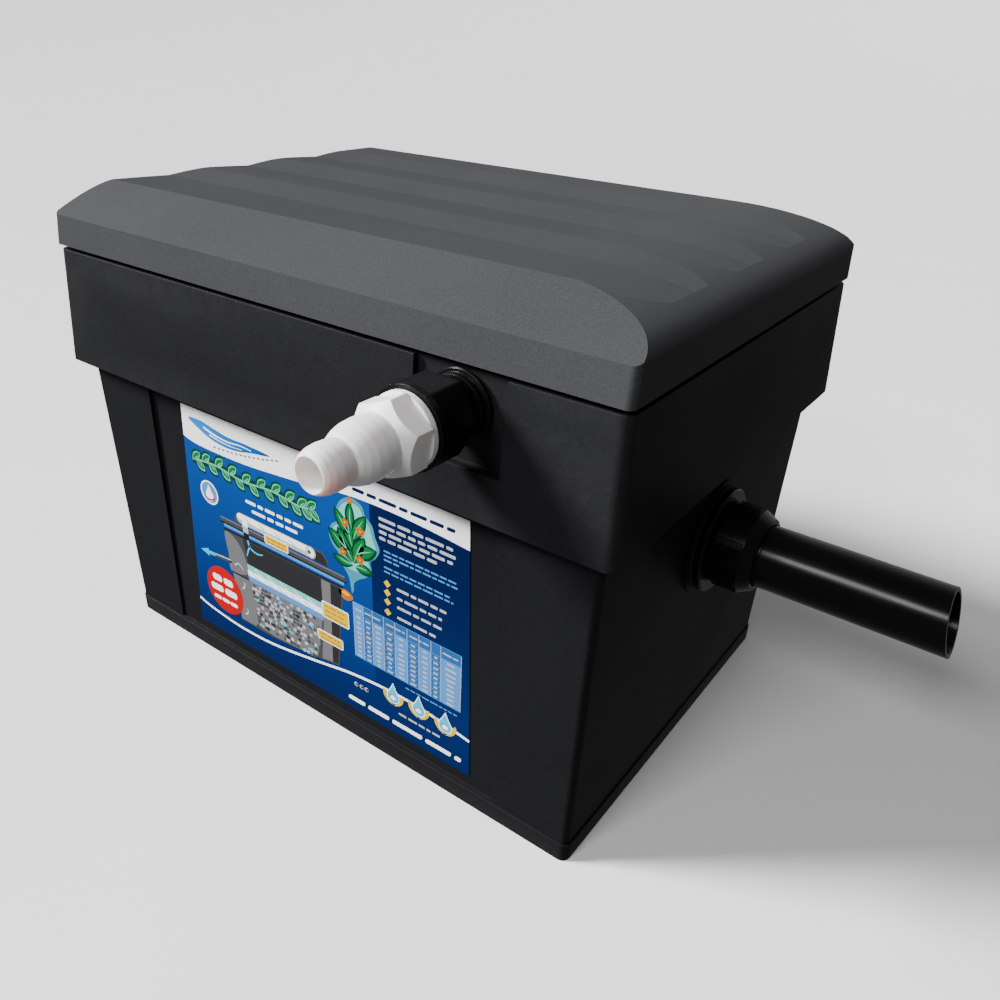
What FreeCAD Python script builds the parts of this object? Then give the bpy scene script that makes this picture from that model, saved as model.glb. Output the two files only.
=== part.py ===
import FreeCAD, Part

import math
import os

import Sketcher

# Box-shaped pond filter with a lift-off lid, a stepped hose tail as inlet, a plain
# pipe as outlet, an ultraviolet lamp in its own housing and a stack of filter media.
# +X runs along the long front face, the labelled front looks towards -Y, +Z is up.
# The origin is the middle of the base, on the surface that the filter stands on.

Vector = FreeCAD.Vector
Rotation = FreeCAD.Rotation
Placement = FreeCAD.Placement

doc = FreeCAD.newDocument("pond_filter")
sheet = doc.addObject("Spreadsheet::Sheet", "sizes")

# ---------------------------------------------------------------- driving sizes, mm
SIZES = [
    # tank: a tapered box with a moulded skirt below its rim
    ("base_half_x", 229.7),
    ("base_half_y", 158.2),
    ("rim_half_x", 232.8),
    ("rim_half_y", 160.0),
    ("rim_height", 325.0),
    ("tank_wall", 4.0),
    ("tank_corner", 5.0),
    ("plinth_height", 14.0),
    ("plinth_proud", 1.2),
    ("skirt_low_half_x", 243.5),
    ("skirt_low_half_y", 171.0),
    ("skirt_top_half_x", 239.2),
    ("skirt_top_half_y", 164.7),
    ("skirt_bottom", 241.0),
    ("skirt_wall", 3.0),
    ("skirt_corner", 7.0),
    # recessed panel of the front wall and the label in it
    ("panel_floor", 156.6),
    ("panel_top_half", 163.0),
    ("panel_low_half", 171.0),
    ("panel_low", 16.0),
    ("panel_top", 238.0),
    ("label_thick", 0.5),
    ("label_low", 25.0),
    ("label_top", 230.0),
    # lid
    ("lid_half_x", 240.0),
    ("lid_half_y", 166.0),
    ("lid_low", 328.5),
    ("lid_edge_height", 349.2),
    ("lid_edge_half_x", 239.6),
    ("lid_edge_half_y", 163.3),
    ("lid_top", 371.5),
    ("lid_wall", 3.0),
    ("lid_corner", 5.0),
    ("dome_start", 150.0),
    ("left_dome_start", 215.6),
    ("groove_depth", 5.0),
    ("groove_run", 160.0),
    ("groove_bend", 300.0),
    ("groove_sweep", 12.1),
    # inlet
    ("inlet_x", 137.5),
    ("inlet_height", 304.0),
    ("inlet_face", 161.0),
    ("notch_half", 31.5),
    ("notch_low", 270.0),
    ("inlet_spigot", 16.0),
    ("inlet_bore", 11.5),
    ("inlet_flange", 20.8),
    ("inlet_washer_thick", 1.2),
    ("union_start", 18.0),
    ("union_radius", 23.4),
    ("hose_large", 16.5),
    ("hose_small", 12.3),
    ("hose_bore", 9.0),
    ("hose_hex", 22.2),
    # outlet
    ("outlet_height", 181.4),
    ("outlet_face", 233.4),
    ("outlet_flange", 37.0),
    ("outlet_spigot", 26.0),
    ("outlet_washer_thick", 2.0),
    ("outlet_nut_radius", 29.5),
    ("pipe_radius", 21.5),
    ("pipe_wall", 2.6),
    ("pipe_end", 392.0),
    # inside
    ("weir_x", 150.0),
    ("sheet_thick", 3.0),
    ("grid_height", 36.0),
    ("media_top", 118.0),
    ("foam_thick", 38.0),
    ("foam_half_y", 151.0),
    ("foam_left", 222.0),
    ("uv_y", 108.0),
    ("uv_height", 304.0),
    ("uv_radius", 30.0),
    ("uv_left", 190.0),
    ("uv_right", 178.0),
    ("sleeve_radius", 12.0),
    ("cradle_base", 256.0),
    ("cradle_thick", 10.0),
    # cable gland in the back wall
    ("gland_x", 190.0),
    ("gland_height", 222.0),
    ("gland_face", 160.4),
    ("gland_hex", 13.0),
    ("gland_bore", 3.6),
]

for row, (alias, value) in enumerate(SIZES, start=1):
    sheet.set("A%d" % row, alias)
    sheet.set("B%d" % row, "%s" % value)
    sheet.setAlias("B%d" % row, alias)
doc.recompute()


class Size:
    """A length that carries its value and its spreadsheet formula together."""

    def __init__(self, value, text):
        self.value = float(value)
        self.text = text

    def _join(self, other, sign, value):
        other_text = other.text if isinstance(other, Size) else "%.6f" % other
        return Size(value, "(%s %s %s)" % (self.text, sign, other_text))

    def __add__(self, other):
        return self._join(other, "+", self.value + number(other))

    def __sub__(self, other):
        return self._join(other, "-", self.value - number(other))

    def __mul__(self, factor):
        return self._join(factor, "*", self.value * number(factor))

    def __neg__(self):
        return self * -1.0


def number(size):
    return size.value if isinstance(size, Size) else float(size)


class Sheet:
    """Reads the cells back by their aliases."""

    def __getattr__(self, alias):
        return Size(sheet.get(alias), "sizes.%s" % alias)


S = Sheet()


def bind(item, prop, size):
    """Give a property its value, and its formula when the size comes from the sheet."""
    if "." not in prop:
        setattr(item, prop, number(size))
    if isinstance(size, Size):
        item.setExpression(prop, size.text)


def place(item, base, rotation=None):
    """Placement of a sub-part, its position bound to the sheet."""
    item.Placement = Placement(Vector(*[number(c) for c in base]), rotation or Rotation())
    for letter, size in zip("xyz", base):
        if isinstance(size, Size):
            item.setExpression("Placement.Base.%s" % letter, size.text)


OUT_FRONT = Rotation(Vector(1, 0, 0), 90)
OUT_RIGHT = Rotation(Vector(0, 1, 0), 90)
OUT_BACK = Rotation(Vector(1, 0, 0), -90)


# ------------------------------------------------------------------ building helpers
def new_body(label):
    body = doc.addObject("PartDesign::Body", label)
    body.Label = label
    return body


def new_sketch(body, role, name, offset=0.0):
    sketch = body.newObject("Sketcher::SketchObject", name)
    plane = [item for item in body.Origin.OriginFeatures if item.Role == role][0]
    sketch.AttachmentSupport = [(plane, "")]
    sketch.MapMode = "FlatFace"
    sketch.AttachmentOffset = Placement(Vector(0, 0, number(offset)), Rotation())
    if isinstance(offset, Size):
        sketch.setExpression("AttachmentOffset.Base.z", offset.text)
    return sketch


def pin_point(sketch, geo, pos, point, tag):
    """Hold one end of an edge at a position given by sheet sizes."""
    for letter, size, kind, axis in (("x", point[0], "DistanceX", -2), ("y", point[1], "DistanceY", -1)):
        if abs(number(size)) < 1e-9:
            sketch.addConstraint(Sketcher.Constraint("PointOnObject", geo, pos, axis))
            continue
        index = sketch.addConstraint(Sketcher.Constraint(kind, -1, 1, geo, pos, number(size)))
        if isinstance(size, Size):
            sketch.renameConstraint(index, tag + letter)
            sketch.setExpression("Constraints.%s%s" % (tag, letter), size.text)


def add_loop(sketch, points, tag="p"):
    """Closed outline of straight edges through the given points."""
    first = sketch.GeometryCount
    flat = [Vector(number(px), number(py), 0) for px, py in points]
    count = len(flat)
    for i in range(count):
        sketch.addGeometry(Part.LineSegment(flat[i], flat[(i + 1) % count]), False)
    for i in range(count):
        sketch.addConstraint(Sketcher.Constraint("Coincident", first + i, 2, first + (i + 1) % count, 1))
    for i in range(count):
        pin_point(sketch, first + i, 1, points[i], "%s%d" % (tag, i))


def add_circle(sketch, centre, radius, tag="c"):
    at = Vector(number(centre[0]), number(centre[1]), 0)
    geo = sketch.addGeometry(Part.Circle(at, Vector(0, 0, 1), number(radius)), False)
    pin_point(sketch, geo, 3, centre, tag)
    index = sketch.addConstraint(Sketcher.Constraint("Radius", geo, number(radius)))
    if isinstance(radius, Size):
        sketch.renameConstraint(index, tag + "r")
        sketch.setExpression("Constraints.%sr" % tag, radius.text)


def add_rounded(sketch, half_x, half_y, radius):
    """Centred rectangle with four rounded corners."""
    inner_x = half_x - radius
    inner_y = half_y - radius
    corners = [
        ((-inner_x, -half_y), (inner_x, -half_y), (inner_x, -inner_y), -90),
        ((half_x, -inner_y), (half_x, inner_y), (inner_x, inner_y), 0),
        ((inner_x, half_y), (-inner_x, half_y), (-inner_x, inner_y), 90),
        ((-half_x, inner_y), (-half_x, -inner_y), (-inner_x, -inner_y), 180),
    ]
    for start, end, centre, angle in corners:
        flat = [Vector(number(px), number(py), 0) for px, py in (start, end, centre)]
        sketch.addGeometry(Part.LineSegment(flat[0], flat[1]), False)
        circle = Part.Circle(flat[2], Vector(0, 0, 1), number(radius))
        arc = Part.ArcOfCircle(circle, math.radians(angle), math.radians(angle + 90))
        sketch.addGeometry(arc, False)
    for i, (start, end, centre, angle) in enumerate(corners):
        line = 2 * i
        sketch.addConstraint(Sketcher.Constraint("Coincident", line, 2, line + 1, 1))
        sketch.addConstraint(Sketcher.Constraint("Coincident", line + 1, 2, (line + 2) % 8, 1))
        pin_point(sketch, line, 1, start, "s%d" % i)
        pin_point(sketch, line, 2, end, "e%d" % i)
        index = sketch.addConstraint(Sketcher.Constraint("Radius", line + 1, number(radius)))
        if isinstance(radius, Size):
            sketch.renameConstraint(index, "r%d" % i)
            sketch.setExpression("Constraints.r%d" % i, radius.text)


def box_points(x0, y0, x1, y1):
    return [(x0, y0), (x1, y0), (x1, y1), (x0, y1)]


def hexagon(radius, turn=0.0):
    steps = [math.radians(60 * i + turn) for i in range(6)]
    return [(radius * math.cos(a), radius * math.sin(a)) for a in steps]


def pad(body, sketch, length, name, back=False):
    feature = body.newObject("PartDesign::Pad", name)
    feature.Profile = sketch
    bind(feature, "Length", length)
    feature.Reversed = back
    return feature


def pocket(body, sketch, length, name, back=False):
    feature = body.newObject("PartDesign::Pocket", name)
    feature.Profile = sketch
    bind(feature, "Length", length)
    feature.Reversed = back
    return feature


def loft(body, sketches, name, kind="Additive"):
    feature = body.newObject("PartDesign::%sLoft" % kind, name)
    feature.Profile = sketches[0]
    feature.Sections = sketches[1:]
    feature.Ruled = True
    return feature


def turn(body, sketch, name, kind="Revolution", angle=360.0, axis="V_Axis", back=False):
    feature = body.newObject("PartDesign::%s" % kind, name)
    feature.Profile = sketch
    feature.ReferenceAxis = (sketch, [axis])
    feature.Angle = angle
    feature.Reversed = back
    return feature


def soften(body, base, radius, name, test):
    """Fillet the edges of the last feature that pass the test."""
    doc.recompute()
    names = ["Edge%d" % (i + 1) for i, edge in enumerate(base.Shape.Edges) if test(edge)]
    feature = body.newObject("PartDesign::Fillet", name)
    feature.Base = (base, names)
    bind(feature, "Radius", radius)
    return feature


def upright(low, high):
    """Test for the corner edges that rise between two heights."""
    def test(edge):
        ends = sorted(vertex.Point.z for vertex in edge.Vertexes)
        return len(ends) == 2 and ends[0] < low and ends[1] > high
    return test


def tapered(body, name, low, high, corner, kind="Additive"):
    """Loft between two centred rounded rectangles: (half_x, half_y, height) each."""
    first = new_sketch(body, "XY_Plane", name + "_low", low[2])
    add_rounded(first, low[0], low[1], corner)
    second = new_sketch(body, "XY_Plane", name + "_high", high[2])
    add_rounded(second, high[0], high[1], corner)
    return loft(body, [first, second], name, kind)


def turned(label, outline, base, rotation=None):
    """Sub-part revolved about its own Z axis from (radius, height) points."""
    body = new_body(label)
    sketch = new_sketch(body, "XZ_Plane", label + "_profile")
    add_loop(sketch, outline)
    turn(body, sketch, label + "_turned")
    place(body, base, rotation)
    return body


def ring_outline(inner, outer, low, high, bevel=0.0):
    if bevel:
        return [
            (inner, low),
            (outer - bevel, low),
            (outer, low + bevel),
            (outer, high - bevel),
            (outer - bevel, high),
            (inner, high),
        ]
    return [(inner, low), (outer, low), (outer, high), (inner, high)]


def hex_nut(label, radius, bore, low, high, base, rotation, turn_by=0.0):
    """Hexagonal ring with rounded corners, standing on its own Z axis."""
    body = new_body(label)
    sketch = new_sketch(body, "XY_Plane", label + "_hex", low)
    add_loop(sketch, hexagon(radius, turn_by))
    add_circle(sketch, (0, 0), bore)
    solid = pad(body, sketch, high - low, label + "_pad")
    soften(body, solid, 1.2, label + "_corners", upright(number(low) + 0.1, number(high) - 0.1))
    place(body, base, rotation)
    return body


def block(label, low, size):
    """Plain rectangular sub-part from its lowest corner and its three sizes."""
    item = doc.addObject("Part::Box", label)
    item.Label = label
    for prop, length in zip(("Length", "Width", "Height"), size):
        bind(item, prop, length)
    place(item, low)
    return item


def rounded_block(label, low, size, radius):
    """Rectangular sub-part with its upright corners rounded."""
    core = block(label + "_core", low, size)
    doc.recompute()
    item = doc.addObject("Part::Fillet", label)
    item.Label = label
    item.Base = core
    top = core.Shape.BoundBox.ZMax - 0.01
    low_z = core.Shape.BoundBox.ZMin + 0.01
    test = upright(low_z, top)
    item.Edges = [(i + 1, radius, radius) for i, edge in enumerate(core.Shape.Edges) if test(edge)]
    return item


PARTS = []


def keep(item):
    PARTS.append(item)
    return item


# ------------------------------------------------------------------------------ tank
tank = new_body("tank")
tapered(
    tank, "skirt",
    (S.skirt_low_half_x, S.skirt_low_half_y, S.skirt_bottom),
    (S.skirt_top_half_x, S.skirt_top_half_y, S.rim_height),
    S.skirt_corner,
)
tapered(
    tank, "skirt_hollow",
    (S.skirt_low_half_x - S.skirt_wall, S.skirt_low_half_y - S.skirt_wall, S.skirt_bottom),
    (S.skirt_top_half_x - S.skirt_wall, S.skirt_top_half_y - S.skirt_wall, S.rim_height - S.skirt_wall),
    S.skirt_corner - S.skirt_wall,
    "Subtractive",
)
tapered(
    tank, "wall",
    (S.base_half_x, S.base_half_y, 0.0),
    (S.rim_half_x, S.rim_half_y, S.rim_height),
    S.tank_corner,
)
tapered(
    tank, "plinth",
    (S.base_half_x + S.plinth_proud, S.base_half_y + S.plinth_proud, 0.0),
    (S.base_half_x + S.plinth_proud, S.base_half_y + S.plinth_proud, S.plinth_height),
    S.tank_corner + S.plinth_proud,
)
tapered(
    tank, "hollow",
    (S.base_half_x - S.tank_wall, S.base_half_y - S.tank_wall, S.tank_wall),
    (S.rim_half_x - S.tank_wall, S.rim_half_y - S.tank_wall, S.rim_height),
    S.tank_corner - S.tank_wall,
    "Subtractive",
)

panel = new_sketch(tank, "XZ_Plane", "panel_outline", S.panel_floor)
add_loop(panel, [
    (-S.panel_low_half, S.panel_low),
    (S.panel_low_half, S.panel_low),
    (S.panel_top_half, S.panel_top),
    (-S.panel_top_half, S.panel_top),
])
pocket(tank, panel, 8.0, "panel_recess", back=True)

inlet_block = new_sketch(tank, "XZ_Plane", "inlet_block_outline", S.inlet_face - 7.0)
add_loop(inlet_block, box_points(
    S.inlet_x - S.notch_half - 6.0, S.notch_low - 4.0,
    S.inlet_x + S.notch_half + 6.0, S.rim_height,
))
pad(tank, inlet_block, 9.0, "inlet_block")
notch = new_sketch(tank, "XZ_Plane", "notch_outline", S.inlet_face)
add_loop(notch, box_points(
    S.inlet_x - S.notch_half, S.notch_low,
    S.inlet_x + S.notch_half, S.rim_height + 5.0,
))
pocket(tank, notch, 20.0, "notch", back=True)
inlet_hole = new_sketch(tank, "XZ_Plane", "inlet_hole_outline", S.inlet_face + 5.0)
add_circle(inlet_hole, (S.inlet_x, S.inlet_height), S.inlet_spigot + 0.3)
pocket(tank, inlet_hole, 20.0, "inlet_hole")

outlet_boss = new_sketch(tank, "YZ_Plane", "outlet_boss_outline", S.outlet_face - 8.4)
add_circle(outlet_boss, (0, S.outlet_height), S.outlet_flange + 4.0)
pad(tank, outlet_boss, 8.4, "outlet_boss")
outlet_hole = new_sketch(tank, "YZ_Plane", "outlet_hole_outline", S.outlet_face + 3.0)
add_circle(outlet_hole, (0, S.outlet_height), S.outlet_spigot + 0.3)
pocket(tank, outlet_hole, 20.0, "outlet_hole")

gland_boss = new_sketch(tank, "XZ_Plane", "gland_boss_outline", -S.gland_face)
add_circle(gland_boss, (S.gland_x, S.gland_height), S.gland_hex + 3.0)
pad(tank, gland_boss, 6.4, "gland_boss")
gland_hole = new_sketch(tank, "XZ_Plane", "gland_hole_outline", -S.gland_face - 3.0)
add_circle(gland_hole, (S.gland_x, S.gland_height), 8.3)
pocket(tank, gland_hole, 20.0, "gland_hole", back=True)

# ledges that carry the two cross beams of the lamp housing, and guides for the weir
for side, face in (("front", 150.0), ("back", -157.5)):
    for tag, centre in (("left", -120.0), ("right", 60.0)):
        ledge = new_sketch(tank, "XZ_Plane", "ledge_%s_%s" % (side, tag), face)
        add_loop(ledge, box_points(centre - 12.0, 244.0, centre + 12.0, S.cradle_base))
        pad(tank, ledge, 7.5, "ledge_pad_%s_%s" % (side, tag))
for side, face in (("front", 152.5), ("back", -156.0)):
    for tag, shift in (("a", -3.3), ("b", 3.3)):
        guide = new_sketch(tank, "XZ_Plane", "guide_%s_%s" % (side, tag), face)
        add_loop(guide, box_points(
            S.weir_x + shift, 3.0,
            S.weir_x + (shift + 3.0), 262.0,
        ))
        pad(tank, guide, 3.5, "guide_pad_%s_%s" % (side, tag))
keep(tank)


# ------------------------------------------------------------------------------- lid
# The crown is a domed block whose top carries three long shallow grooves. Each groove
# falls gently backwards and rises again more steeply. The grooves run out through the
# steep left end. At the long rounded right end they bend down and stop short of the edge.
CREST = [(-122.0, -1.3), (-41.0, -0.3), (38.0, -0.1), (115.0, 0.0)]
TROUGH = [(-68.0, 0.6), (12.0, 0.1), (90.0, 0.5)]


def ridge_outline():
    """Region above the grooved top, from the first crest line to the last."""
    points = [(CREST[0][0], S.lid_top + CREST[0][1])]
    for low, high in zip(TROUGH, CREST[1:]):
        points.append((low[0], S.lid_top - S.groove_depth + low[1]))
        points.append((high[0], S.lid_top + high[1]))
    points.append((CREST[-1][0], S.lid_top + 9.0))
    points.append((CREST[0][0], S.lid_top + 9.0))
    return points


lid = new_body("lid")
tapered(
    lid, "edge",
    (S.lid_half_x, S.lid_half_y, S.lid_low),
    (S.lid_edge_half_x, S.lid_edge_half_y, S.lid_edge_height),
    S.lid_corner,
)
crown = new_sketch(lid, "XY_Plane", "crown_outline", S.lid_edge_height)
add_rounded(crown, S.lid_edge_half_x, S.lid_edge_half_y, S.lid_corner)
pad(lid, crown, S.lid_top - S.lid_edge_height, "crown")

bands = new_sketch(lid, "YZ_Plane", "band_outline", -260.0)
add_loop(bands, [
    (-S.lid_edge_half_y - 7.0, S.lid_edge_height),
    (-S.lid_edge_half_y, S.lid_edge_height),
    (CREST[0][0], S.lid_top + CREST[0][1]),
    (CREST[0][0], S.lid_top + 9.0),
    (-S.lid_edge_half_y - 7.0, S.lid_top + 9.0),
], "f")
add_loop(bands, [
    (S.lid_edge_half_y + 7.0, S.lid_edge_height),
    (S.lid_edge_half_y, S.lid_edge_height),
    (150.0, S.lid_top),
    (150.0, S.lid_top + 9.0),
    (S.lid_edge_half_y + 7.0, S.lid_top + 9.0),
], "b")
pocket(lid, bands, 520.0, "bands", back=True)

straight = new_sketch(lid, "YZ_Plane", "straight_grooves", -S.lid_half_x - 8.0)
add_loop(straight, ridge_outline())
pocket(lid, straight, S.groove_run + S.lid_half_x + 8.0, "grooves_straight", back=True)
bent = new_sketch(lid, "YZ_Plane", "bent_grooves", S.groove_run)
add_loop(bent, ridge_outline())
height = S.lid_top - S.groove_bend
line = bent.addGeometry(Part.LineSegment(Vector(-150, height.value, 0), Vector(150, height.value, 0)), True)
pin_point(bent, line, 1, (-150.0, height), "a")
pin_point(bent, line, 2, (150.0, height), "z")
run_out = turn(lid, bent, "grooves_bent", "Groove", 12.1, "Axis0")
bind(run_out, "Angle", S.groove_sweep)

for tag, side, dome_start in (("left", -1.0, S.left_dome_start), ("right", 1.0, S.dome_start)):
    dome = new_sketch(lid, "XZ_Plane", "dome_" + tag, -200.0)
    reach = (S.lid_edge_half_x - dome_start).value
    rise = (S.lid_top - S.lid_edge_height).value
    centre = Vector(side * dome_start.value, S.lid_edge_height.value, 0)
    oval = Part.Ellipse(centre, reach, rise)
    quarter = (0, math.pi / 2) if side > 0 else (math.pi / 2, math.pi)
    dome.addGeometry(Part.ArcOfEllipse(oval, *quarter), False)
    corners = [
        centre + Vector(0, rise, 0),
        centre + Vector(0, rise + 12, 0),
        centre + Vector(side * (reach + 12), rise + 12, 0),
        centre + Vector(side * (reach + 12), 0, 0),
        centre + Vector(side * reach, 0, 0),
    ]
    for start, finish in zip(corners, corners[1:]):
        dome.addGeometry(Part.LineSegment(start, finish), False)
    pocket(lid, dome, 400.0, "dome_cut_" + tag, back=True)

tapered(
    lid, "lid_hollow",
    (S.lid_half_x - S.lid_wall, S.lid_half_y - S.lid_wall, S.lid_low),
    (S.lid_edge_half_x - S.lid_wall, S.lid_edge_half_y - S.lid_wall, S.lid_edge_height - 3.2),
    S.lid_corner - S.lid_wall,
    "Subtractive",
)
tapered(
    lid, "lid_hollow_top",
    (232.0, 154.0, S.lid_edge_height - 3.4),
    (200.0, 128.0, S.lid_top - 12.0),
    9.0,
    "Subtractive",
)

# locating ribs: each rests on the rim and reaches down inside the tank
for side in (-1.0, 1.0):
    for i, start in enumerate((-188.0, -58.0, 62.0, 205.0)):
        rib = new_sketch(lid, "YZ_Plane", "rib_y%d_%d" % (side + 1, i), start)
        add_loop(rib, [
            ((S.rim_half_y - 0.5) * side, S.rim_height + 0.3),
            ((S.rim_half_y - S.tank_wall - 0.6) * side, S.rim_height + 0.3),
            ((S.rim_half_y - S.tank_wall - 0.6) * side, S.rim_height - 9.0),
            ((S.rim_half_y - S.tank_wall - 3.8) * side, S.rim_height - 9.0),
            ((S.rim_half_y - S.tank_wall - 3.8) * side, S.lid_edge_height - 1.2),
            ((S.rim_half_y - 0.5) * side, S.lid_edge_height - 1.2),
        ])
        pad(lid, rib, 16.0, "rib_pad_y%d_%d" % (side + 1, i))
    for i, start in enumerate((-88.0, 72.0)):
        rib = new_sketch(lid, "XZ_Plane", "rib_x%d_%d" % (side + 1, i), start)
        add_loop(rib, [
            ((S.rim_half_x + 0.5) * side, S.rim_height + 0.3),
            ((S.rim_half_x - S.tank_wall - 0.6) * side, S.rim_height + 0.3),
            ((S.rim_half_x - S.tank_wall - 0.6) * side, S.rim_height - 9.0),
            ((S.rim_half_x - S.tank_wall - 3.8) * side, S.rim_height - 9.0),
            ((S.rim_half_x - S.tank_wall - 3.8) * side, S.lid_edge_height - 1.2),
            ((S.rim_half_x + 0.5) * side, S.lid_edge_height - 1.2),
        ])
        pad(lid, rib, 16.0, "rib_pad_x%d_%d" % (side + 1, i))
keep(lid)

# ----------------------------------------------------------------------------- label
front_label = new_body("front_label")
outline = new_sketch(front_label, "XZ_Plane", "label_outline", S.panel_floor)
add_loop(outline, [
    (-144.0, S.label_low),
    (148.0, S.label_low),
    (142.0, S.label_top),
    (-128.0, S.label_top),
])
pad(front_label, outline, S.label_thick, "label_sheet")
keep(front_label)

# ----------------------------------------------------------------------------- inlet
INLET = (S.inlet_x, -S.inlet_face, S.inlet_height)
WASHER = S.inlet_washer_thick
keep(turned("inlet_washer", ring_outline(S.inlet_spigot + 0.3, 20.0, 0.0, WASHER), INLET, OUT_FRONT))
NUT = S.union_start
keep(turned("inlet_connector", [
    (S.inlet_bore, -27.0),
    (S.inlet_spigot, -27.0),
    (S.inlet_spigot, WASHER),
    (S.inlet_flange - 0.6, WASHER),
    (S.inlet_flange, WASHER + 0.6),
    (S.inlet_flange, WASHER + 2.0),
    (S.inlet_flange - 0.8, WASHER + 2.8),
    (S.inlet_spigot + 2.2, WASHER + 2.8),
    (S.inlet_spigot + 2.2, WASHER + 6.0),
    (S.inlet_spigot + 1.5, WASHER + 6.8),
    (S.inlet_spigot + 1.5, NUT + 4.5),
    (S.inlet_spigot + 3.4, NUT + 4.5),
    (S.inlet_spigot + 3.4, NUT + 12.0),
    (S.inlet_bore, NUT + 12.0),
], INLET, OUT_FRONT))
keep(hex_nut("inlet_backnut", 23.0, S.inlet_spigot + 0.05, -17.0, -7.0, INLET, OUT_FRONT))
keep(turned("inlet_seal", ring_outline(12.0, 17.0, NUT + 12.0, NUT + 14.6), INLET, OUT_FRONT))

inlet_nut = new_body("inlet_nut")
nut_hex = new_sketch(inlet_nut, "XY_Plane", "nut_hex", NUT)
add_loop(nut_hex, hexagon(24.0, 0.0))
add_circle(nut_hex, (0, 0), S.inlet_spigot + 1.9)
nut_pad = pad(inlet_nut, nut_hex, 27.5, "nut_body")
soften(inlet_nut, nut_pad, 2.0, "nut_corners", upright(18.1, 45.4))
nut_ring = new_sketch(inlet_nut, "XY_Plane", "nut_ring", NUT + 23.6)
add_circle(nut_ring, (0, 0), S.union_radius)
add_circle(nut_ring, (0, 0), 20.2, "i")
pad(inlet_nut, nut_ring, 4.1, "nut_rim")
nut_bore = new_sketch(inlet_nut, "XY_Plane", "nut_bore", NUT + 28.5)
add_circle(nut_bore, (0, 0), 20.2)
pocket(inlet_nut, nut_bore, 24.5, "nut_thread")
place(inlet_nut, INLET, OUT_FRONT)
keep(inlet_nut)

# The tail has a thin collar, a hexagon whose front runs down a cone, then a large and a
# small barb with rounded shoulders. BARB is the height where the large barb begins.
BARB = NUT + 50.0
hosetail = new_body("hosetail")
tail = new_sketch(hosetail, "XZ_Plane", "tail_profile")
add_loop(tail, [
    (S.hose_bore, NUT + 14.9),
    (19.7, NUT + 14.9),
    (19.7, NUT + 28.2),
    (21.0, NUT + 28.2),
    (21.0, NUT + 32.0),
    (18.4, NUT + 33.0),
    (18.4, BARB - 4.0),
    (S.hose_large - 0.7, BARB),
    (S.hose_large - 0.2, BARB + 3.0),
    (S.hose_large, BARB + 9.0),
    (S.hose_large - 0.4, BARB + 15.0),
    (S.hose_large - 1.5, BARB + 19.5),
    (S.hose_large - 3.2, BARB + 23.5),
    (S.hose_small - 0.5, BARB + 25.5),
    (S.hose_small - 0.1, BARB + 29.0),
    (S.hose_small + 0.2, BARB + 34.0),
    (S.hose_small - 0.2, BARB + 39.0),
    (S.hose_small - 1.2, BARB + 42.5),
    (S.hose_small - 2.4, BARB + 44.2),
    (S.hose_bore, BARB + 44.8),
])
turn(hosetail, tail, "tail_turned")
tail_hex = new_sketch(hosetail, "XY_Plane", "tail_hex", NUT + 32.0)
add_loop(tail_hex, hexagon(S.hose_hex, 20.0))
add_circle(tail_hex, (0, 0), S.hose_bore + 2.0)
pad(hosetail, tail_hex, 17.5, "tail_hex_pad")
tail_cone = new_sketch(hosetail, "XZ_Plane", "tail_cone")
add_loop(tail_cone, [
    (S.hose_large - 0.4, BARB),
    (S.hose_hex + 0.8, NUT + 43.0),
    (S.hose_hex + 3.0, NUT + 43.0),
    (S.hose_hex + 3.0, BARB),
])
turn(hosetail, tail_cone, "tail_cone_cut", "Groove")
place(hosetail, INLET, OUT_FRONT)
keep(hosetail)

# ---------------------------------------------------------------------------- outlet
OUTLET = (S.outlet_face, 0.0, S.outlet_height)
SEAT = S.outlet_washer_thick
keep(turned("outlet_washer", ring_outline(S.outlet_spigot + 0.3, 36.0, 0.0, SEAT), OUTLET, OUT_RIGHT))
keep(turned("outlet_connector", [
    (S.pipe_radius + 0.3, -30.0),
    (S.outlet_spigot, -30.0),
    (S.outlet_spigot, SEAT),
    (S.outlet_flange - 1.0, SEAT),
    (S.outlet_flange, SEAT + 1.0),
    (S.outlet_flange, 6.8),
    (S.outlet_flange - 1.2, 7.8),
    (S.outlet_spigot - 0.8, 7.8),
    (S.outlet_spigot - 0.8, 30.0),
    (S.pipe_radius + 0.3, 30.0),
], OUTLET, OUT_RIGHT))
keep(hex_nut("outlet_backnut", 35.0, S.outlet_spigot + 0.05, -18.4, -8.4, OUTLET, OUT_RIGHT))
keep(turned("outlet_seal", ring_outline(S.pipe_radius + 0.3, 25.0, 30.0, 32.8), OUTLET, OUT_RIGHT))

outlet_nut = new_body("outlet_nut")
nut_profile = new_sketch(outlet_nut, "XZ_Plane", "outlet_nut_profile")
add_loop(nut_profile, [
    (S.outlet_spigot - 0.4, 8.6),
    (S.outlet_nut_radius - 1.0, 8.6),
    (S.outlet_nut_radius - 0.6, 9.6),
    (S.outlet_nut_radius - 0.6, 29.0),
    (S.outlet_nut_radius - 4.6, 36.6),
    (S.pipe_radius + 0.5, 36.6),
    (S.pipe_radius + 0.5, 33.2),
    (S.outlet_spigot - 0.4, 33.2),
])
turn(outlet_nut, nut_profile, "outlet_nut_turned")
rib = new_sketch(outlet_nut, "XY_Plane", "grip_rib", 10.5)
add_loop(rib, box_points(S.outlet_nut_radius - 2.0, -2.2, S.outlet_nut_radius + 0.4, 2.2))
rib_pad = pad(outlet_nut, rib, 17.5, "grip_rib_pad")
ribs = outlet_nut.newObject("PartDesign::PolarPattern", "grip_ribs")
ribs.Originals = [rib_pad]
ribs.Axis = (rib, ["N_Axis"])
ribs.Angle = 360
ribs.Occurrences = 12
outlet_nut.Tip = ribs
place(outlet_nut, OUTLET, OUT_RIGHT)
keep(outlet_nut)

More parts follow.
